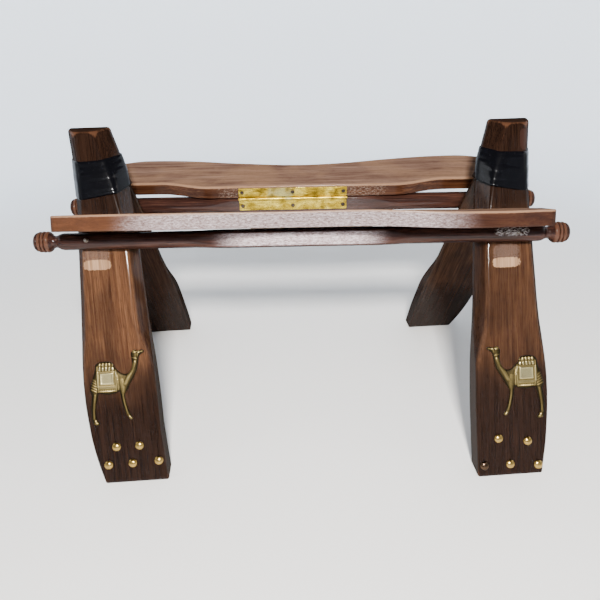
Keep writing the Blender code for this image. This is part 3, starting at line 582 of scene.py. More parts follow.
def antique_brass(name):
    """Cast ornament: dark in the hollows, rubbed bright on what stands proud."""
    graph = Graph(name)
    proud = graph.attribute("wear", "Fac")
    fine = graph.noise(graph.attribute("grain"), 900.0, 4.0, 0.7)
    level = graph.plus(proud, graph.times(graph.math("SUBTRACT", fine, 0.5), 0.5))
    colour = graph.ramp(level, (0.12, (0.012, 0.009, 0.004)), (0.42, (0.070, 0.050, 0.017)),
                        (0.72, (0.230, 0.170, 0.065)), (0.95, (0.480, 0.400, 0.200)))
    rough = graph.span(level, 0.2, 0.9, 0.48, 0.26)
    graph.set(Base_Color=colour, Metallic=0.95, Roughness=rough, Normal=graph.bump(fine, 0.3))
    return graph.material


def tack_brass(name, tint, bright, seed):
    graph = Graph(name)
    height = graph.attribute("wear", "Fac")
    fine = graph.streaks(graph.attribute("grain"), (700.0, 700.0, 700.0), 4.0, 0.65, seed=seed)
    rim = graph.span(height, 0.0, 0.45, 0.90, 0.0)
    colour = graph.mix(rim, graph.mix(fine, tint, bright), (0.020, 0.012, 0.005))
    rough = graph.span(fine, 0.3, 0.7, 0.16, 0.30)
    graph.set(Base_Color=colour, Metallic=1.0, Roughness=rough, Normal=graph.bump(fine, 0.15, 0.0001))
    return graph.material


def black_tape(name):
    graph = Graph(name)
    grain = graph.attribute("grain")
    dust = graph.streaks(grain, (300.0, 300.0, 500.0), 4.0, 0.7)
    crease = graph.streaks(grain, (14.0, 14.0, 420.0), 3.0, 0.5, 0.4)
    colour = graph.mix(graph.span(dust, 0.62, 0.80), (0.0018, 0.0018, 0.0026), (0.014, 0.013, 0.015))
    rough = graph.span(dust, 0.35, 0.70, 0.20, 0.28)
    graph.set(Base_Color=colour, Roughness=rough, Normal=graph.bump(crease, 0.05))
    graph.set(Specular_IOR_Level=0.04, Coat_Weight=graph.worn_gloss(0.30), Coat_Roughness=0.10)
    return graph.material


def dull_steel(name, glue=0.0, dark=1.0):
    graph = Graph(name)
    grain = graph.attribute("grain")
    fine = graph.noise(grain, 1500.0, 4.0, 0.7)
    rust = graph.noise(grain, 420.0, 3.0, 0.6)
    deep = (0.050 * dark, 0.036 * dark, 0.026 * dark)
    pale = (0.230 * dark, 0.190 * dark, 0.150 * dark)
    rusty = graph.span(rust, 0.50, 0.64, 0.0, 0.8)
    colour = graph.mix(rusty, graph.mix(fine, deep, pale), (0.040, 0.018, 0.010))
    if glue:
        colour = graph.mix(graph.span(rust, 0.36, 0.50, glue, 0.0), colour, (0.620, 0.600, 0.570))
    rough = graph.span(fine, 0.3, 0.7, 0.30, 0.55)
    graph.set(Base_Color=colour, Metallic=0.85, Roughness=rough, Normal=graph.bump(fine, 0.3))
    return graph.material


def plain_dowel(name):
    """Hidden joint pins: bare pale wood, worked from the object's own coordinates."""
    graph = Graph(name)
    streak = graph.streaks(graph.node("TexCoord", {})["Object"], (900.0, 60.0, 400.0), 4.0, 0.6)
    colour = graph.mix(streak, (0.300, 0.190, 0.100), (0.560, 0.400, 0.240))
    graph.set(Base_Color=colour, Roughness=0.7, Normal=graph.bump(streak, 0.3))
    return graph.material


# ---- legs
def end_point(side, x, y, z):
    """Point of an end frame: x outward, y to the back, before splay and racking."""
    out = x + SPLAY * z - END_X
    wx = side * out * math.cos(RACK) - y * math.sin(RACK)
    wy = side * out * math.sin(RACK) + y * math.cos(RACK)
    return Vector((side * END_X + wx + LEAN_FOOT - LEAN_RATE * z, wy, z))


def front_face(z):
    return -FOOT_Y + LEG_SLOPE * z


def face_frame(side, front, x, z):
    """Point on a leg's show face with its outward, inward-to-centre and up directions."""
    turn = 1.0 if front else -1.0
    at = end_point(side, x, turn * front_face(z), z)
    along = end_point(side, x - 0.01, turn * front_face(z), z) - at
    above = end_point(side, x, turn * front_face(z + 0.01), z + 0.01) - at
    up = above.normalized()
    inward = (along - up * along.dot(up)).normalized()
    outward = inward.cross(up)
    if outward.y * turn > 0.0:
        outward = -outward
    return at, outward.normalized(), inward, up


def leg_corners(z, inset, move_in=0.0, move_out=0.0):
    """Eight corners of the level section with the radius of each rounding."""
    inner, outer, facet_in, facet_out = smooth_table(LEG_STATIONS, z)
    inner += move_in
    outer += move_out
    face = front_face(z) + inset
    back = front_face(z) + LEG_T - inset
    depth_in = min(FACET_DEPTH, facet_in * 1.9)
    depth_out = min(FACET_DEPTH, facet_out * 1.9)
    left = inner + inset
    right = outer - inset
    arris = 0.0012
    soft = 0.0030 + 0.0035 * ease((z - 0.27) / 0.06)
    return [
        (left + facet_in, face, soft), (right - facet_out, face, soft),
        (right, face + depth_out, soft), (right, back - arris, 0.0008),
        (right - arris, back, 0.0008), (left + arris, back, 0.0008),
        (left, back - arris, 0.0008), (left, face + depth_in, soft),
    ]


def rounded_loop(corners, arc_steps, flat_steps):
    """Points (x, y, wear) round a polygon with its corners rounded."""
    loop = []
    count = len(corners)
    for i in range(count):
        ax, ay, _ = corners[i - 1]
        bx, by, radius = corners[i]
        cx, cy, next_radius = corners[(i + 1) % count]
        before = math.hypot(ax - bx, ay - by)
        after = math.hypot(cx - bx, cy - by)
        reach = min(radius, before * 0.42, after * 0.42)
        start = (bx + (ax - bx) / before * reach, by + (ay - by) / before * reach)
        stop = (bx + (cx - bx) / after * reach, by + (cy - by) / after * reach)
        for step in range(arc_steps + 1):
            t = step / arc_steps
            wx = (1 - t) ** 2 * start[0] + 2 * t * (1 - t) * bx + t * t * stop[0]
            wy = (1 - t) ** 2 * start[1] + 2 * t * (1 - t) * by + t * t * stop[1]
            loop.append((wx, wy, math.sin(math.pi * t)))
        next_after = math.hypot(corners[(i + 2) % count][0] - cx, corners[(i + 2) % count][1] - cy)
        next_reach = min(next_radius, after * 0.42, next_after * 0.42)
        far = (cx + (bx - cx) / after * next_reach, cy + (by - cy) / after * next_reach)
        for step in range(1, flat_steps[i]):
            t = step / flat_steps[i]
            loop.append((stop[0] + (far[0] - stop[0]) * t, stop[1] + (far[1] - stop[1]) * t, 0.0))
    return loop


LEG_FLATS = [10, 2, 4, 1, 8, 1, 4, 2]


def leg_levels():
    """Heights of the leg's rings with the inset of each."""
    levels = [(0.0, 0.0012), (0.0004, 0.0004), (0.0012, 0.0)]
    steps = 96
    low = 0.0040
    high = LEG_TOP - low
    for i in range(steps + 1):
        levels.append((low + (high - low) * i / steps, 0.0))
    rim = 0.0034
    for i in range(1, 6):
        turn = math.pi / 2.0 * i / 5.0
        levels.append((LEG_TOP - rim * (1.0 - math.sin(turn)), rim * (1.0 - math.cos(turn))))
    return levels


def leg_rows(builder, side, front, seed):
    turn = 1.0 if front else -1.0
    rows = []
    for z, inset in leg_levels():
        row = []
        tip = ease((z - 0.354) / 0.005) * ease((LEG_TOP + 0.0004 - z) / 0.0010)
        foot = ease((0.010 - z) / 0.010)
        move_in = smooth_table(LEFT_FOOT_IN, z)[0] if front and side < 0 else 0.0
        move_out = smooth_table(RIGHT_FOOT_OUT, z)[0] if front and side > 0 else 0.0
        for x, y, corner in rounded_loop(leg_corners(z, inset, move_in, move_out), 4, LEG_FLATS):
            point = end_point(side, x, turn * y, z)
            hand = wobble(point, 26.0, 0.00030, seed) + wobble(point, 90.0, 0.00008, seed)
            if z < 0.002 or z > LEG_TOP - 0.005:
                hand = hand * 0.25
            hand.z = 0.0
            wear = corner * 0.62 + tip * 0.75 + foot * 0.35
            row.append(builder.add(point + hand, (x, y - front_face(z), z), min(1.0, wear)))
        rows.append(row)
    return rows


def joint_plane(side):
    """Face of the front leg that the back leg's bevelled tip lies on."""
    back = LEG_T + 0.0003
    near = end_point(side, END_X, front_face(0.20) + back, 0.20)
    high = end_point(side, END_X, front_face(0.30) + back, 0.30)
    wide = end_point(side, END_X + 0.1, front_face(0.20) + back, 0.20)
    normal = (high - near).cross(wide - near).normalized()
    return near, -normal if normal.y < 0.0 else normal


def trim_back_leg(mesh, side):
    near, normal = joint_plane(side)
    bm = bmesh.new()
    bm.from_mesh(mesh)
    every = list(bm.verts) + list(bm.edges) + list(bm.faces)
    bmesh.ops.bisect_plane(bm, geom=every, plane_co=near, plane_no=normal, clear_inner=True)
    rim = [edge for edge in bm.edges if edge.is_boundary]
    bmesh.ops.contextual_create(bm, geom=rim)
    bmesh.ops.triangulate(bm, faces=[f for f in bm.faces if len(f.verts) > 4])
    bmesh.ops.recalc_face_normals(bm, faces=bm.faces)
    bm.to_mesh(mesh)
    bm.free()


# the per-leg strength of the golden band is partly painted light, set to how brightly each leg is lit
LEG_MARKS = {
    ("front", "left"): dict(patch_centre=(0.2316, 0.0, 0.2230), patch_size=(0.0152, 0.004, 0.0052)),
    ("front", "right"): dict(patch_centre=(0.2175, 0.0, 0.2168), patch_size=(0.0160, 0.004, 0.0050),
                             stain=(0.2440, 0.0, 0.3420), gold_and_light=0.55),
    ("back", "left"): dict(gold_and_light=0.60, shine=0.26),
    ("back", "right"): dict(gold_and_light=1.60, shine=0.30),
}


def make_legs():
    for number, (face, front) in enumerate(FACES.items()):
        for order, (where, side) in enumerate(SIDES.items()):
            seed = 1.3 + 2.1 * number + 4.7 * order
            builder = Builder()
            builder.loft(leg_rows(builder, side, front, seed))
            name = f"{face}_{where}_leg"
            mesh = builder.mesh(name)
            if not front:
                trim_back_leg(mesh, side)
            material = leg_wood(name + "_wood", seed, **LEG_MARKS[face, where])
            place(name, mesh, material, f"leg_{face}_{where}")


# ---- rails
def rail_fat(front, x):
    """Swelling of the back rail between the ends."""
    return 1.0 if front else 1.0 + BACK_RAIL_FAT * ease((0.272 - abs(x)) / 0.020)


def rail_reach(x):
    full = FLAT_H * 1.30
    return full + (ROD_R - full) * ease((abs(x) - FLAT_HALF) / 0.036)


def rail_radius(x, turn):
    """Square middle that fades into the round rod, by angle round the axis."""
    reach = rail_reach(x)
    if abs(x) > FLAT_HALF + 0.036:
        return ROD_R, 0.0
    square = FLAT_H / max(abs(math.cos(turn)), abs(math.sin(turn)))
    flat = ease((reach - square) / 0.0004)
    return min(square, reach), flat


def rail_stations():
    """Distance along the rail with the radius of the turned parts, or None."""
    knob = []
    steps = 76
    for i in range(steps + 1):
        inset = FINIAL[-1][0] * (i / steps) ** 1.15
        knob.append((RAIL_HALF - inset, smooth_table(FINIAL, inset)[0]))
    rod = RAIL_HALF - FINIAL[-1][0]
    middle = [(rod - 2.0 * rod * i / 180, None) for i in range(1, 180)]
    return knob + middle + [(-x, r) for x, r in reversed(knob)]


def slope_frame(front, slope):
    """Outward and up directions of something that rises outward at a slope."""
    turn = -1.0 if front else 1.0
    cosine = math.cos(slope)
    sine = math.sin(slope)
    return Vector((0.0, turn * cosine, sine)), Vector((0.0, -turn * sine, cosine))


def rail_frame(front):
    """Middle of the rail with the outward and up directions of its square part."""
    turn = -1.0 if front else 1.0
    outward, up = slope_frame(front, RAIL_ROLL[front])
    return Vector((turn * RAIL_SHIFT, turn * RAIL_Y, RAIL_Z)), outward, up


def make_rail(face, front, seed):
    centre, outward, up = rail_frame(front)
    builder = Builder()
    rows = []
    for x, radius in rail_stations():
        row = []
        for turn, cosine, sine in circle(64):
            # on the square part the stored value is the flat-face mask, which carries the rail's painted
            # reflection; on the knobs it is the wear of the proud rings
            length, flat_or_worn = rail_radius(x, turn)
            if radius is not None:
                length = radius
                flat_or_worn = ease((radius - 0.0098) / 0.0018)
            out = cosine * length * rail_fat(front, x)
            rise = sine * length * rail_fat(front, x)
            point = centre + along_x(x) + outward * out + up * rise
            point += wobble(point, 40.0, 0.00012, seed) * ease((RAIL_HALF - abs(x)) / 0.010)
            row.append(builder.add(point, (out, rise, x), flat_or_worn))
        rows.append(row)
    builder.loft(rows)
    name = face + "_rail"
    place(name, builder.mesh(name), rail_wood(name + "_wood", seed, front), "rail_" + face)


def make_nail(face, front, where, side, material):
    turn = 1.0 if front else -1.0
    lean = math.atan(LEG_SLOPE)
    into = Vector((0.0, turn * math.cos(lean), -math.sin(lean)))
    head = -ROD_R * rail_fat(front, NAIL_X)
    profile = [(head - 0.0014, 0.0003), (head - 0.00135, 0.0012), (head - 0.0010, 0.0022),
               (head - 0.0005, 0.0027), (head - 0.0001, 0.0027), (head + 0.0002, 0.0024),
               (head + 0.0004, 0.0013), (0.0225, 0.0013), (0.0250, 0.0002)]
    builder = Builder()
    turned(builder, Vector((side * NAIL_X, -turn * RAIL_Y, RAIL_Z)), into, profile, 20)
    name = f"{face}_{where}_nail"
    place(name, builder.mesh(name), material, f"nail_{face}_{where}")


# ---- hinges
def hinge_frame(front, on_board):
    """Hinge middle on the pin, with the outward and up directions of the wood the leaf lies on."""
    centre, outward, up = rail_frame(front)
    half = FLAT_H * rail_fat(front, 0.0)
    axis = centre - outward * (half + AXIS_OUT) + up * (half + AXIS_GAP)
    axis.x = HINGE_SHIFT if front else -HINGE_SHIFT
    if on_board:
        outward, up = slope_frame(front, BOARD_TILT[front])
    return axis, outward, up


def body_of(face, on_board):
    return face + "_board" if on_board else "frame"


def leaf_rows(builder, centre, outward, up, way):
    """Rounded thin plate from the knuckles to its free edge."""
    half = HINGE_LEN / 2.0
    middle = (LEAF_ROOT + LEAF_TOP) / 2.0
    corners = [(-half, LEAF_ROOT, 0.0004), (half, LEAF_ROOT, 0.0004),
               (half, LEAF_TOP, 0.0012), (-half, LEAF_TOP, 0.0012)]
    loop = rounded_loop(corners, 4, [90, 8, 90, 8])
    rows = []
    for sunk, inset in ((0.0, 0.0), (LEAF_T - 0.0003, 0.0), (LEAF_T - 0.0001, 0.0001), (LEAF_T, 0.00035)):
        depth = LEAF_FACE - sunk
        row = []
        for x, v, _ in loop:
            x *= 1.0 - inset / half
            v += inset if v < middle else -inset
            bend = wobble((x, v * way, 0.0), 60.0, 0.00012, 5.0).x
            point = centre + along_x(x) + up * (way * v) + outward * (depth + bend)
            row.append(builder.add(point, (v * way, depth, x)))
        rows.append(row)
    builder.loft(rows, caps=False)
    return rows


def make_leaf(face, front, on_board, material):
    centre, outward, up = hinge_frame(front, on_board)
    way = 1.0 if on_board else -1.0
    builder = Builder()
    rows = leaf_rows(builder, centre, outward, up, way)
    builder.faces.append(tuple(rows[0]))
    builder.faces.append(tuple(reversed(rows[-1])))
    pitch = HINGE_LEN / HINGE_KNUCKLES
    for i in range(HINGE_KNUCKLES):
        if (i % 2 == 1) == on_board:
            knuckle(builder, centre, outward, up, way, pitch * i - HINGE_LEN / 2.0, pitch)
    kind = "board" if on_board else "rail"
    name = f"{face}_hinge_leaf_{kind}"
    node = f"hinge_leaf_{kind}_{face}"
    place(name, builder.mesh(name), material, node, body_of(face, on_board))


def knuckle(builder, centre, outward, up, way, start, pitch):
    """One rolled knuckle: a comma-shaped section, rolled from the leaf round the pin."""
    steps = 22
    first = math.asin(min(1.0, (LEAF_FACE - KNUCKLE_R * 0.02) / KNUCKLE_R))
    section = []
    for i in range(steps + 1):
        turn = first - (2.0 * math.pi - 0.55) * i / steps
        section.append((math.sin(turn) * KNUCKLE_R, math.cos(turn) * KNUCKLE_R))
    section += [(LEAF_FACE - LEAF_T, LEAF_ROOT + 0.0006), (LEAF_FACE - 0.0001, LEAF_ROOT + 0.0006)]
    low = start + KNUCKLE_GAP
    high = start + pitch - KNUCKLE_GAP
    rows = []
    for along, shrink in ((low, 0.94), (low + 0.0002, 1.0), (high - 0.0002, 1.0), (high, 0.94)):
        row = []
        for out, rise in section:
            point = centre + along_x(along) + (outward * out + up * (way * rise)) * shrink
            row.append(builder.add(point, (rise * way, out, along)))
        rows.append(row)
    builder.loft(rows)


def make_pin(face, front, material):
    half = HINGE_LEN / 2.0
    head = [(half + 0.0012, 0.0003), (half + 0.0011, 0.0010), (half + 0.0008, 0.0016),
            (half + 0.0003, 0.0018), (half + 0.0002, 0.0010)]
    profile = [(-along, radius) for along, radius in head] + head[::-1]
    builder = Builder()
    turned(builder, hinge_frame(front, False)[0], along_x(1.0), profile, 20)
    name = face + "_hinge_pin"
    place(name, builder.mesh(name), material, "hinge_pin_" + face)


def make_screw(face, front, on_board, place_number, material):
    centre, outward, up = hinge_frame(front, on_board)
    way = 1.0 if on_board else -1.0
    centre += along_x(place_number * (HINGE_LEN / 2.0 - 0.0045)) + up * (way * 0.0094)
    centre += outward * (AXIS_OUT - 0.0005 - LEAF_T)
    turn = 0.5 + 0.9 * place_number + (0.4 if on_board else 0.0)
    slot_dir = along_x(math.cos(turn)) + up * math.sin(turn)
    slot_side = slot_dir.cross(outward)
    builder = Builder()
    rows = []
    for ratio, height in SCREW_RINGS:
        radius = SCREW_HEAD_R * ratio
        row = []
        for _, cosine, sine in circle(28):
            offset = (slot_dir * cosine + slot_side * sine) * radius
            deep = abs(sine * radius) < 0.00042 and height > 0.0 and ratio < 0.97
            level = height - (0.0007 if deep else 0.0)
            row.append(builder.add(centre + offset - outward * level, (offset.x, offset.z, height)))
        rows.append(row)
    builder.loft(rows)
    kind = "board" if on_board else "rail"
    where = ("left", "middle", "right")[place_number + 1]
    name = f"{face}_{kind}_screw_{where}"
    node = f"screw_{kind}_{face}_{where}"
    place(name, builder.mesh(name), material, node, body_of(face, on_board), False)


# ---- seat boards
def board_inner(x):
    return BOARD_BACK * ease((abs(x) - 0.118) / 0.066)


def board_outer(x):
    far = abs(x)
    swell = BOARD_HUMP * ease(far / 0.200)
    fall = 0.0130 * ease((far - 0.205) / 0.075)
    return BOARD_MID + swell - fall


def rounding(gap, radius):
    """How far a rounded corner draws in at a gap from the end."""
    return radius * (1.0 - math.sqrt(1.0 - (1.0 - min(1.0, gap / radius)) ** 2))


def board_outline():
    """Closed (x, width) loop with rounded corners, inner edge first."""
    inner = []
    outer = []
    for i in range(BOARD_STEPS + 1):
        x = -BOARD_HALF + 2.0 * BOARD_HALF * i / BOARD_STEPS
        gap = BOARD_HALF - abs(x)
        inner.append((x, board_inner(x) + rounding(gap, 0.0025)))
        outer.append((x, board_outer(x) - rounding(gap, 0.0055)))
    outer.reverse()
    low = inner[-1][1]
    high = outer[0][1]
    end = [(BOARD_HALF, low + (high - low) * i / (BOARD_END + 1.0)) for i in range(1, BOARD_END + 1)]
    start = [(-BOARD_HALF, y) for x, y in reversed(end)]
    return inner + end + outer + start


def inset_loop(loop, amount):
    result = []
    for i, (x, y) in enumerate(loop):
        ax, ay = loop[i - 1]
        cx, cy = loop[(i + 1) % len(loop)]
        size = math.hypot(cx - ax, cy - ay) or 1.0
        result.append((x - (cy - ay) / size * amount, y + (cx - ax) / size * amount))
    return result


def board_profile():
    """Rounded edge of the board: height, inset."""
    soft = 0.0016
    sole = 0.0012
    profile = [(0.0, 0.0030), (0.0, sole)]
    for i in range(1, 4):
        turn = math.pi / 2.0 * i / 4.0
        profile.append((sole * (1.0 - math.cos(turn)), sole * (1.0 - math.sin(turn))))
    profile += [(sole + (BOARD_T - soft - sole) * i / 6.0, 0.0) for i in range(6)]
    for i in range(6):
        turn = math.pi / 2.0 * i / 5.0
        profile.append((BOARD_T - soft + soft * math.sin(turn), soft * (1.0 - math.cos(turn))))
    return profile + [(BOARD_T, 0.0036)]


def board_slope(front, x):
    droop = BOARD_DROOP * ease((x - 0.060) / 0.120) if front else 0.0
    return BOARD_TILT[front] - droop


def make_board(face, front, seed):
    axis = hinge_frame(front, True)[0]
    axis.x = BOARD_SHIFT
    outline = board_outline()
    builder = Builder()
    rows = []
    for height, inset in board_profile():
        row = []
        rim = ease((height - BOARD_T + 0.003) / 0.0016) * (1.0 if inset < 0.003 else 0.0)
        sole = ease((0.0016 - height) / 0.0016) * (1.0 if inset < 0.002 else 0.0)
        for x, width in inset_loop(outline, inset):
            hand = wobble((x, width, 0.0), 22.0, 0.00035, seed)
            outward, up = slope_frame(front, board_slope(front, x))
            point = axis + along_x(x) + outward * (AXIS_OUT + width + hand.y * ease(width / 0.01))
            point += up * (AXIS_GAP + height + hand.z * ease((height - 0.004) / 0.008))
            row.append(builder.add(point, (width, height, x), max(rim, 0.6 * sole)))
        rows.append(row)
    builder.loft(rows, caps=False)
    close_board(builder, rows[0], False)
    close_board(builder, rows[-1], True)
    name = face + "_seat_board"
    material = board_wood(name + "_wood", seed, front)
    place(name, builder.mesh(name), material, "seat_board_" + face, face + "_board")


def close_board(builder, row, flip):
    """Close a broad face with quads from edge to edge."""
    across = 8
    turn = BOARD_STEPS + 1 + BOARD_END
    near = row[:BOARD_STEPS + 1]
    far = row[turn:turn + BOARD_STEPS + 1][::-1]
    lines = [near]
    for k in range(1, across):
        line = []
        for a, b in zip(near, far):
            point = builder.points[a].lerp(builder.points[b], k / across)
            line.append(builder.add(point, builder.grain[a].lerp(builder.grain[b], k / across)))
        lines.append(line)
    lines.append(far)
    for low, high in zip(lines, lines[1:]):
        for i in range(BOARD_STEPS):
            quad = (low[i], low[i + 1], high[i + 1], high[i])
            builder.faces.append(quad[::-1] if flip else quad)
    right = row[BOARD_STEPS:turn + 1]
    left = [row[0]] + row[:turn + BOARD_STEPS:-1] + [row[turn + BOARD_STEPS]]
    for ends, column in ((right, -1), (left, 0)):
        builder.faces.append(tuple(ends + [line[column] for line in lines[-2:0:-1]]))


# ---- tape
def support_loop(points, count):
    """Tight loop of tangent points round a set of points."""
    loop = []
    for _, nx, ny in circle(count, 0.5):
        loop.append((nx, ny, max(px * nx + py * ny for px, py in points)))
    result = []
    for (ax, ay, a), (bx, by, b) in zip(loop, loop[1:] + loop[:1]):
        det = ax * by - ay * bx
        result.append(((a * by - ay * b) / det, (ax * b - a * bx) / det))
    return result


def horn_points(z):
    loop = rounded_loop(leg_corners(z, 0.0), 4, LEG_FLATS)
    limit = front_face(z) + LEG_T
    points = [(x, y) for x, y, _ in loop]
    points += [(x, -y) for x, y, _ in loop if -y >= limit]
    return points


def soften(loop, passes):
    """Round the corners of a closed loop a little."""
    for _ in range(passes):
        count = len(loop)
        loop = [tuple(0.25 * loop[i - 1][k] + 0.5 * loop[i][k] + 0.25 * loop[(i + 1) % count][k]
                      for k in (0, 1)) for i in range(count)]
    return loop


def tape_edges(x):
    """The wraps slant a little, so both edges of the tape rise toward the centre."""
    inner = 0.22 - x
    return TAPE_LOW + 0.16 * inner, TAPE_HIGH + 0.05 * inner


def tape_thickness(level, turn, seed):
    """Overlapping turns: small steps, a puckered edge and slight wrinkles."""
    build = 0.00055
    for start, stop, slant in ((0.00, 0.62, 0.05), (0.22, 0.86, -0.06), (0.45, 1.0, 0.04)):
        place_in = level + slant * math.sin(turn + seed)
        if start <= place_in <= stop:
            build += 0.00022
    wrinkle = 0.00001 * math.sin(34.0 * level + 3.0 * math.sin(turn * 2.0 + seed))
    return 0.0006 + build + wrinkle


def make_tape(where, side, material, seed):
    builder = Builder()
    count = 72
    levels = 30
    out_rows = []
    in_rows = []
    for k in range(levels + 1):
        part = k / levels
        out_rows.append([])
        in_rows.append([])
        base = TAPE_LOW + (TAPE_HIGH - TAPE_LOW) * part
        outer = soften(support_loop(horn_points(base), count), 2)
        for (x, y), (turn, cosine, sine) in zip(outer, circle(count, 1.0)):
            ragged = 0.0004 * math.sin(5.0 * turn + seed) * (1.0 if part > 0.5 else -1.0)
            low, high = tape_edges(x)
            z = low + (high - low) * part + ragged * abs(2.0 * part - 1.0)
            fat = tape_thickness(part, turn, seed) * (0.55 if k in (0, levels) else 1.0)
            slide = 0.5 * (front_face(z) - front_face(base))
            for row, reach in ((out_rows[-1], fat), (in_rows[-1], 0.0003)):
                point = end_point(side, x + cosine * reach, y + sine * reach + slide, z)
                row.append(builder.add(point, (x, y, z), part))
    for rows in (out_rows, in_rows):
        builder.loft(rows, caps=False)
    builder.strip(out_rows[0], in_rows[0])
    builder.strip(out_rows[-1], in_rows[-1])
    name = where + "_tape"
    place(name, builder.mesh(name), material, "tape_" + where, weighted=False)


# ---- tacks
def make_tack(face, front, where, side, number, material):
    x, z = TACK_SPOTS[side][number]
    spot, out, _, _ = face_frame(side, front, x, z)
    steps = 12
    profile = []
    wear = []
    for i in range(steps + 1):
        turn = math.pi / 2.0 * (1.0 - i / steps)
        profile.append((LIFT + TACK_H * math.sin(turn) ** 1.15, max(0.0003, TACK_R * math.cos(turn))))
        wear.append(math.sin(turn))
    profile += [(LIFT - 0.0001, TACK_R - 0.0003), (LIFT - 0.0002, 0.0009), (-0.0095, 0.0004)]
    wear += [0.0, 0.0, 0.0]
    builder = Builder()
    tilt = Vector((0.03 * math.sin(number * 2.3 + side), 0.0, 0.03 * math.cos(number * 1.7)))
    seed = 0.01 * number + 0.07 * side
    turned(builder, spot, (out + tilt).normalized(), profile, 32, wear, (seed, seed, 0.0))
    name = f"{face}_{where}_tack_{number + 1}"
    node = f"tack_{face}_{where}_{number + 1}"
    place(name, builder.mesh(name), material, node, weighted=False)


# ---- camels
def smooth_outline(points, steps):
    """Closed smooth curve through the points."""
    result = []
    count = len(points)
    for i in range(count):
        a, b, c, d = (np.array(points[(i + k - 1) % count]) for k in range(4))
        for step in range(steps):
            t = step / steps
            move = (c - a) * t + (2 * a - 5 * b + 4 * c - d) * t ** 2 + (3 * b - a - 3 * c + d) * t ** 3
            result.append(b + 0.5 * move)
    return np.array(result)


def edge_distance(points, outline):
    """Distance from each point to the outline, the nearest spot on it, and inside or not."""
    start = outline
    stop = np.roll(outline, -1, axis=0)
    way = stop - start
    size = (way ** 2).sum(1)
    best = np.full(len(points), 1e9)
    spot = np.zeros((len(points), 2))
    inside = np.zeros(len(points), bool)
    for a, b, d, s in zip(start, stop, way, size):
        t = np.clip(((points - a) @ d) / s, 0.0, 1.0)
        near = a + t[:, None] * d
        gap = np.hypot(*(points - near).T)
        closer = gap < best
        best[closer] = gap[closer]
        spot[closer] = near[closer]
        crosses = (a[1] > points[:, 1]) != (b[1] > points[:, 1])
        if a[1] != b[1]:
            edge_x = a[0] + (points[:, 1] - a[1]) / (b[1] - a[1]) * (b[0] - a[0])
            inside ^= crosses & (points[:, 0] < edge_x)
    return best, spot, inside


def soft_box(u, v, low_u, high_u, low_v, high_v, soft):
    """1 inside a box with soft edges, 0 outside."""
    gap = np.minimum(np.minimum(u - low_u, high_u - u), np.minimum(v - low_v, high_v - v))
    part = np.clip(gap / soft + 0.5, 0.0, 1.0)
    return part * part * (3.0 - 2.0 * part)


def soft_line(u, v, a, b, width):
    """Rounded ridge along the line from a to b."""
    a = np.array(a)
    b = np.array(b)
    way = b - a
    t = np.clip(((u - a[0]) * way[0] + (v - a[1]) * way[1]) / (way ** 2).sum(), 0.0, 1.0)
    gap = np.hypot(u - a[0] - t * way[0], v - a[1] - t * way[1])
    return np.sqrt(np.clip(1.0 - (gap / width) ** 2, 0.0, 1.0))


def camel_height(u, v, depth):
    """Relief in millimetres above the plate's back, from the distance to its edge."""
    height = 0.55 + 1.25 * (1.0 - np.exp(-depth / 1.7))
    lean = 0.002 * (v - 37.0)
    cloth = soft_box(u - lean, v, 9.2, 29.6, 37.6, 61.5, 0.5)
    height += 0.58 * cloth - 0.28 * soft_box(u, v, 10.4, 28.4, 38.9, 60.4, 0.5)
    box = soft_box(u, v, 12.2, 26.6, 46.4, 59.6, 0.9)
    height += 0.80 * box - 0.25 * soft_box(u, v, 13.5, 25.3, 47.7, 58.4, 0.6)
    height += 0.30 * soft_box(u, v, 10.6, 28.2, 41.6, 44.6, 0.5)
    fringe = soft_box(u, v, 10.0, 29.0, 37.4, 40.8, 0.4)
    height += 0.22 * fringe * np.cos(u * 2.0 * math.pi / 1.9)
    for i in range(5):
        bead = 12.0 + 3.5 * i
        step = 3.0 * i
        height += 0.95 * soft_line(u, v, (bead, 63.2), (bead + 0.3, 65.6), 1.25)
        height += 0.70 * soft_line(u, v, (bead + 0.3, 68.4), (bead + 0.5, 70.6), 1.1)
        height += 0.42 * soft_line(u, v, (2.0 + 0.35 * i, 41.5 + step), (7.6, 38.2 + step), 0.75)
    for rise, start, stop, width in CAMEL_RIDGES:
        height += rise * soft_line(u, v, start, stop, width)
    return height


def camel_relief():
    """Grid mesh of the camel: points (u, v, height) in millimetres, rim, quads, level."""
    outline = smooth_outline(CAMEL_OUTLINE, 6)
    pitch = 0.5
    us = np.arange(-1.0, 63.0, pitch)
    vs = np.arange(-1.5, 87.0, pitch)
    grid_u, grid_v = np.meshgrid(us, vs)
    points = np.stack([grid_u.ravel(), grid_v.ravel()], 1)
    gap, spot, inside = edge_distance(points, outline)
    columns = len(us)
    cells = []
    for r in range(len(vs) - 1):
        for c in range(columns - 1):
            corner = r * columns + c
            quad = (corner, corner + 1, corner + columns + 1, corner + columns)
            held = sum(bool(inside[k]) for k in quad)
            near = min(gap[k] for k in quad)
            if held == 4 or (held >= 1 and near < 0.36 * pitch + 1.0 and held >= 2):
                cells.append(quad)
    moved = points.copy()
    outside = ~inside
    moved[outside] = spot[outside]
    depth = np.where(inside, gap, 0.0)
    height = camel_height(moved[:, 0], moved[:, 1], depth)
    base = 0.55 + 1.25 * (1.0 - np.exp(-depth / 1.7))
    level = np.clip((height - 0.7) / 2.0, 0.0, 1.0) * 0.55 + np.clip((height - base) / 0.9, -0.4, 1.0) * 0.45
    return moved, height, level, cells


def camel_frame(side, front):
    """Corner of a camel plate with its outward, inward-to-centre and up directions."""
    x, z, lean, stretch = CAMEL_PLACES[side]
    spot, out, across, up = face_frame(side, front, x, z)
    turned_in = across * math.cos(lean) - up * math.sin(lean)
    return spot, out, turned_in * stretch, up * math.cos(lean) + across * math.sin(lean)


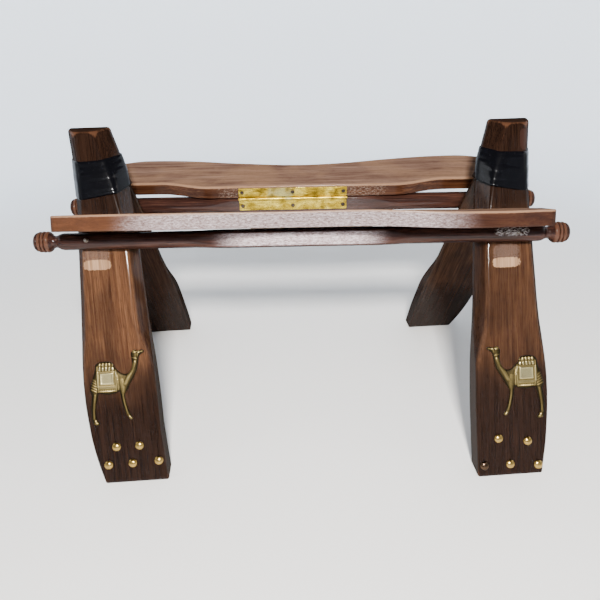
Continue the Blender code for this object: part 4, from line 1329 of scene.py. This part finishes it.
def make_camel_mesh(name, side, front, relief):
    moved, height, level, cells = relief
    spot, out, across, up = camel_frame(side, front)
    used = sorted({k for quad in cells for k in quad})
    builder = Builder()
    top = {}
    base = {}
    for k in used:
        u, v = moved[k] * 0.001
        at = spot + across * u + up * v + out * LIFT
        rise = height[k] * 0.001
        top[k] = builder.add(at + out * rise, (u, v, rise), level[k])
        base[k] = builder.add(at, (u, v, 0.0))
    edges = set()
    for quad in cells:
        builder.faces.append(tuple(top[k] for k in quad))
        builder.faces.append(tuple(base[k] for k in reversed(quad)))
        edges.update(zip(quad, quad[1:] + quad[:1]))
    for a, b in sorted(edges):
        if (b, a) not in edges:
            builder.faces.append((top[b], top[a], base[a], base[b]))
    return builder.mesh(name)


def make_camel(face, front, where, side, relief, material):
    name = f"{face}_{where}_camel"
    mesh = make_camel_mesh(name, side, front, relief)
    place(name, mesh, material, f"camel_{face}_{where}", weighted=False)


# ---- stage
def plain_floor():
    """Pale ground that passes into a wall all round, which glows as a soft light and is painted greyer in
    shade toward the front.
    """
    graph = Graph("pale_ground")
    coords = graph.node("TexCoord", {})["Object"]
    cloud = graph.noise(coords, 2.2, 4.0, 0.5, 0.3)
    x, y = graph.parts(coords)[:2]
    far = graph.math("SQRT", graph.plus(graph.times(x, x), graph.times(y, y)))
    ground = graph.mix(cloud, (0.880, 0.855, 0.825), (0.900, 0.875, 0.845))
    wall = graph.mix(cloud, (0.850, 0.910, 0.985), (0.875, 0.930, 0.995))
    colour = graph.mix(graph.span(far, 0.45, 1.30), ground, wall)
    # the wall glows as a light source, strongest far out and behind the object
    wall_glow = graph.times(graph.span(far, 0.45, BOWL_R, 0.0, BOWL_GLOW), graph.span(y, 0.10, 0.90, 0.08, 1.0))
    # painted shade: the wall's front part is greyed
    shade = graph.times(graph.span(far, 1.20, 1.80), graph.span(y, -0.20, 0.80, 1.0, 0.0), 0.80)
    colour = graph.mix(shade, colour, (0.200, 0.205, 0.210))
    graph.set(Base_Color=colour, Roughness=0.55, Emission_Color=wall, Emission_Strength=wall_glow)
    return graph.material


def make_backdrop():
    """Round floor that sweeps up into a wall all round, well outside any view of the object."""
    radius = 0.60
    start = BOWL_R - radius
    profile = [(0.30, 0.0), (0.60, 0.0), (0.90, 0.0), (start, 0.0)]
    for i in range(1, 13):
        turn = math.pi / 2.0 * i / 12.0
        profile.append((start + radius * math.sin(turn), radius * (1.0 - math.cos(turn))))
    profile.append((BOWL_R, 1.70))
    builder = Builder()
    rows = []
    for far, z in profile:
        ring = [Vector((far * cosine, far * sine, z)) for _, cosine, sine in circle(96)]
        rows.append([builder.add(point, point) for point in ring])
    builder.cap(rows[0], builder.middle(rows[0]))
    for low, high in zip(rows, rows[1:]):
        builder.strip(high, low)
    mesh = bpy.data.meshes.new("backdrop")
    mesh.from_pydata(builder.points, [], builder.faces)
    mesh.polygons.foreach_set("use_smooth", [True] * len(builder.faces))
    mesh.materials.append(plain_floor())
    backdrop = bpy.data.objects.new("backdrop", mesh)
    bpy.context.scene.collection.objects.link(backdrop)


def area_light(name, at, target, size, power, colour):
    data = bpy.data.lights.new(name, "AREA")
    data.shape = "RECTANGLE"
    data.size = size[0]
    data.size_y = size[1]
    data.energy = power
    data.color = colour
    lamp = bpy.data.objects.new(name, data)
    bpy.context.scene.collection.objects.link(lamp)
    lamp.location = at
    lamp.rotation_euler = (Vector(target) - Vector(at)).to_track_quat("-Z", "Y").to_euler()
    return lamp


def make_lights():
    middle = (0.0, 0.0, 0.18)
    area_light("key", (0.05, -1.35, 1.22), middle, (0.22, 0.16), 82.0, (1.0, 0.985, 0.96))
    area_light("fill_left", (-1.6, -0.3, 1.2), middle, (0.7, 0.7), 4.0, (0.93, 0.96, 1.0))
    area_light("fill_right", (1.6, -0.2, 1.2), middle, (0.7, 0.7), 3.5, (1.0, 0.96, 0.92))
    world = bpy.data.worlds.new("studio")
    world.use_nodes = True
    world.node_tree.nodes["Background"].inputs["Color"].default_value = (0.90, 0.94, 1.0, 1.0)
    world.node_tree.nodes["Background"].inputs["Strength"].default_value = 0.10
    bpy.context.scene.world = world


def make_camera():
    data = bpy.data.cameras.new("camera")
    data.sensor_width = 36.0
    data.lens = 36.0
    data.clip_start = 0.02
    camera = bpy.data.objects.new("camera", data)
    bpy.context.scene.collection.objects.link(camera)
    yaw = math.radians(-0.24)
    pitch = math.radians(27.91)
    roll = math.radians(-1.20)
    forward = Vector((math.sin(yaw) * math.cos(pitch), math.cos(yaw) * math.cos(pitch), -math.sin(pitch)))
    level = Vector((math.cos(yaw), -math.sin(yaw), 0.0))
    above = level.cross(forward)
    right = level * math.cos(roll) + above * math.sin(roll)
    up = above * math.cos(roll) - level * math.sin(roll)
    turn = Matrix((right, up, -forward)).transposed()
    camera.matrix_world = Matrix.Translation((-0.0013, -0.6996, 0.5081)) @ turn.to_4x4()
    bpy.context.scene.camera = camera


# ---- build
def make_ornaments():
    relief = camel_relief()
    camel_metal = antique_brass("camel_brass")
    bright = tack_brass("tack_bright", (0.270, 0.165, 0.042), (0.500, 0.340, 0.110), 1.0)
    tarnished = tack_brass("tack_tarnished", (0.030, 0.018, 0.012), (0.120, 0.075, 0.045), 2.0)
    nail_metal = dull_steel("nail_steel", 0.8)
    for face, front in FACES.items():
        for where, side in SIDES.items():
            make_camel(face, front, where, side, relief, camel_metal)
            make_nail(face, front, where, side, nail_metal)
            for number in range(len(TACK_SPOTS[side])):
                dark = (face, where, number) == ("front", "right", 4)
                make_tack(face, front, where, side, number, tarnished if dark else bright)


def make_hinges():
    upper = aged_brass("leaf_upper_brass", 1.0, green=-0.016)
    lower = aged_brass("leaf_lower_brass", 4.0)
    pin_metal = aged_brass("pin_brass", 7.0)
    screw_metal = dull_steel("screw_steel", dark=0.35)
    for face, front in FACES.items():
        make_pin(face, front, pin_metal)
        for on_board in (True, False):
            make_leaf(face, front, on_board, upper if on_board else lower)
            for place_number in (-1, 0, 1):
                make_screw(face, front, on_board, place_number, screw_metal)


def make_all():
    make_legs()
    for number, (face, front) in enumerate(FACES.items()):
        make_rail(face, front, 3.3 + 5.0 * number)
        make_board(face, front, 2.2 + 3.7 * number)
    make_hinges()
    make_ornaments()
    tape = black_tape("black_tape")
    for where, side in SIDES.items():
        make_tape(where, side, tape, 1.0 + side)
    dowel = plain_dowel("dowel_wood")
    for where in SIDES:
        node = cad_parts["leg_dowel_" + where]
        node.data.materials.clear()
        node.data.materials.append(dowel)
    make_backdrop()
    make_lights()
    make_camera()


make_all()
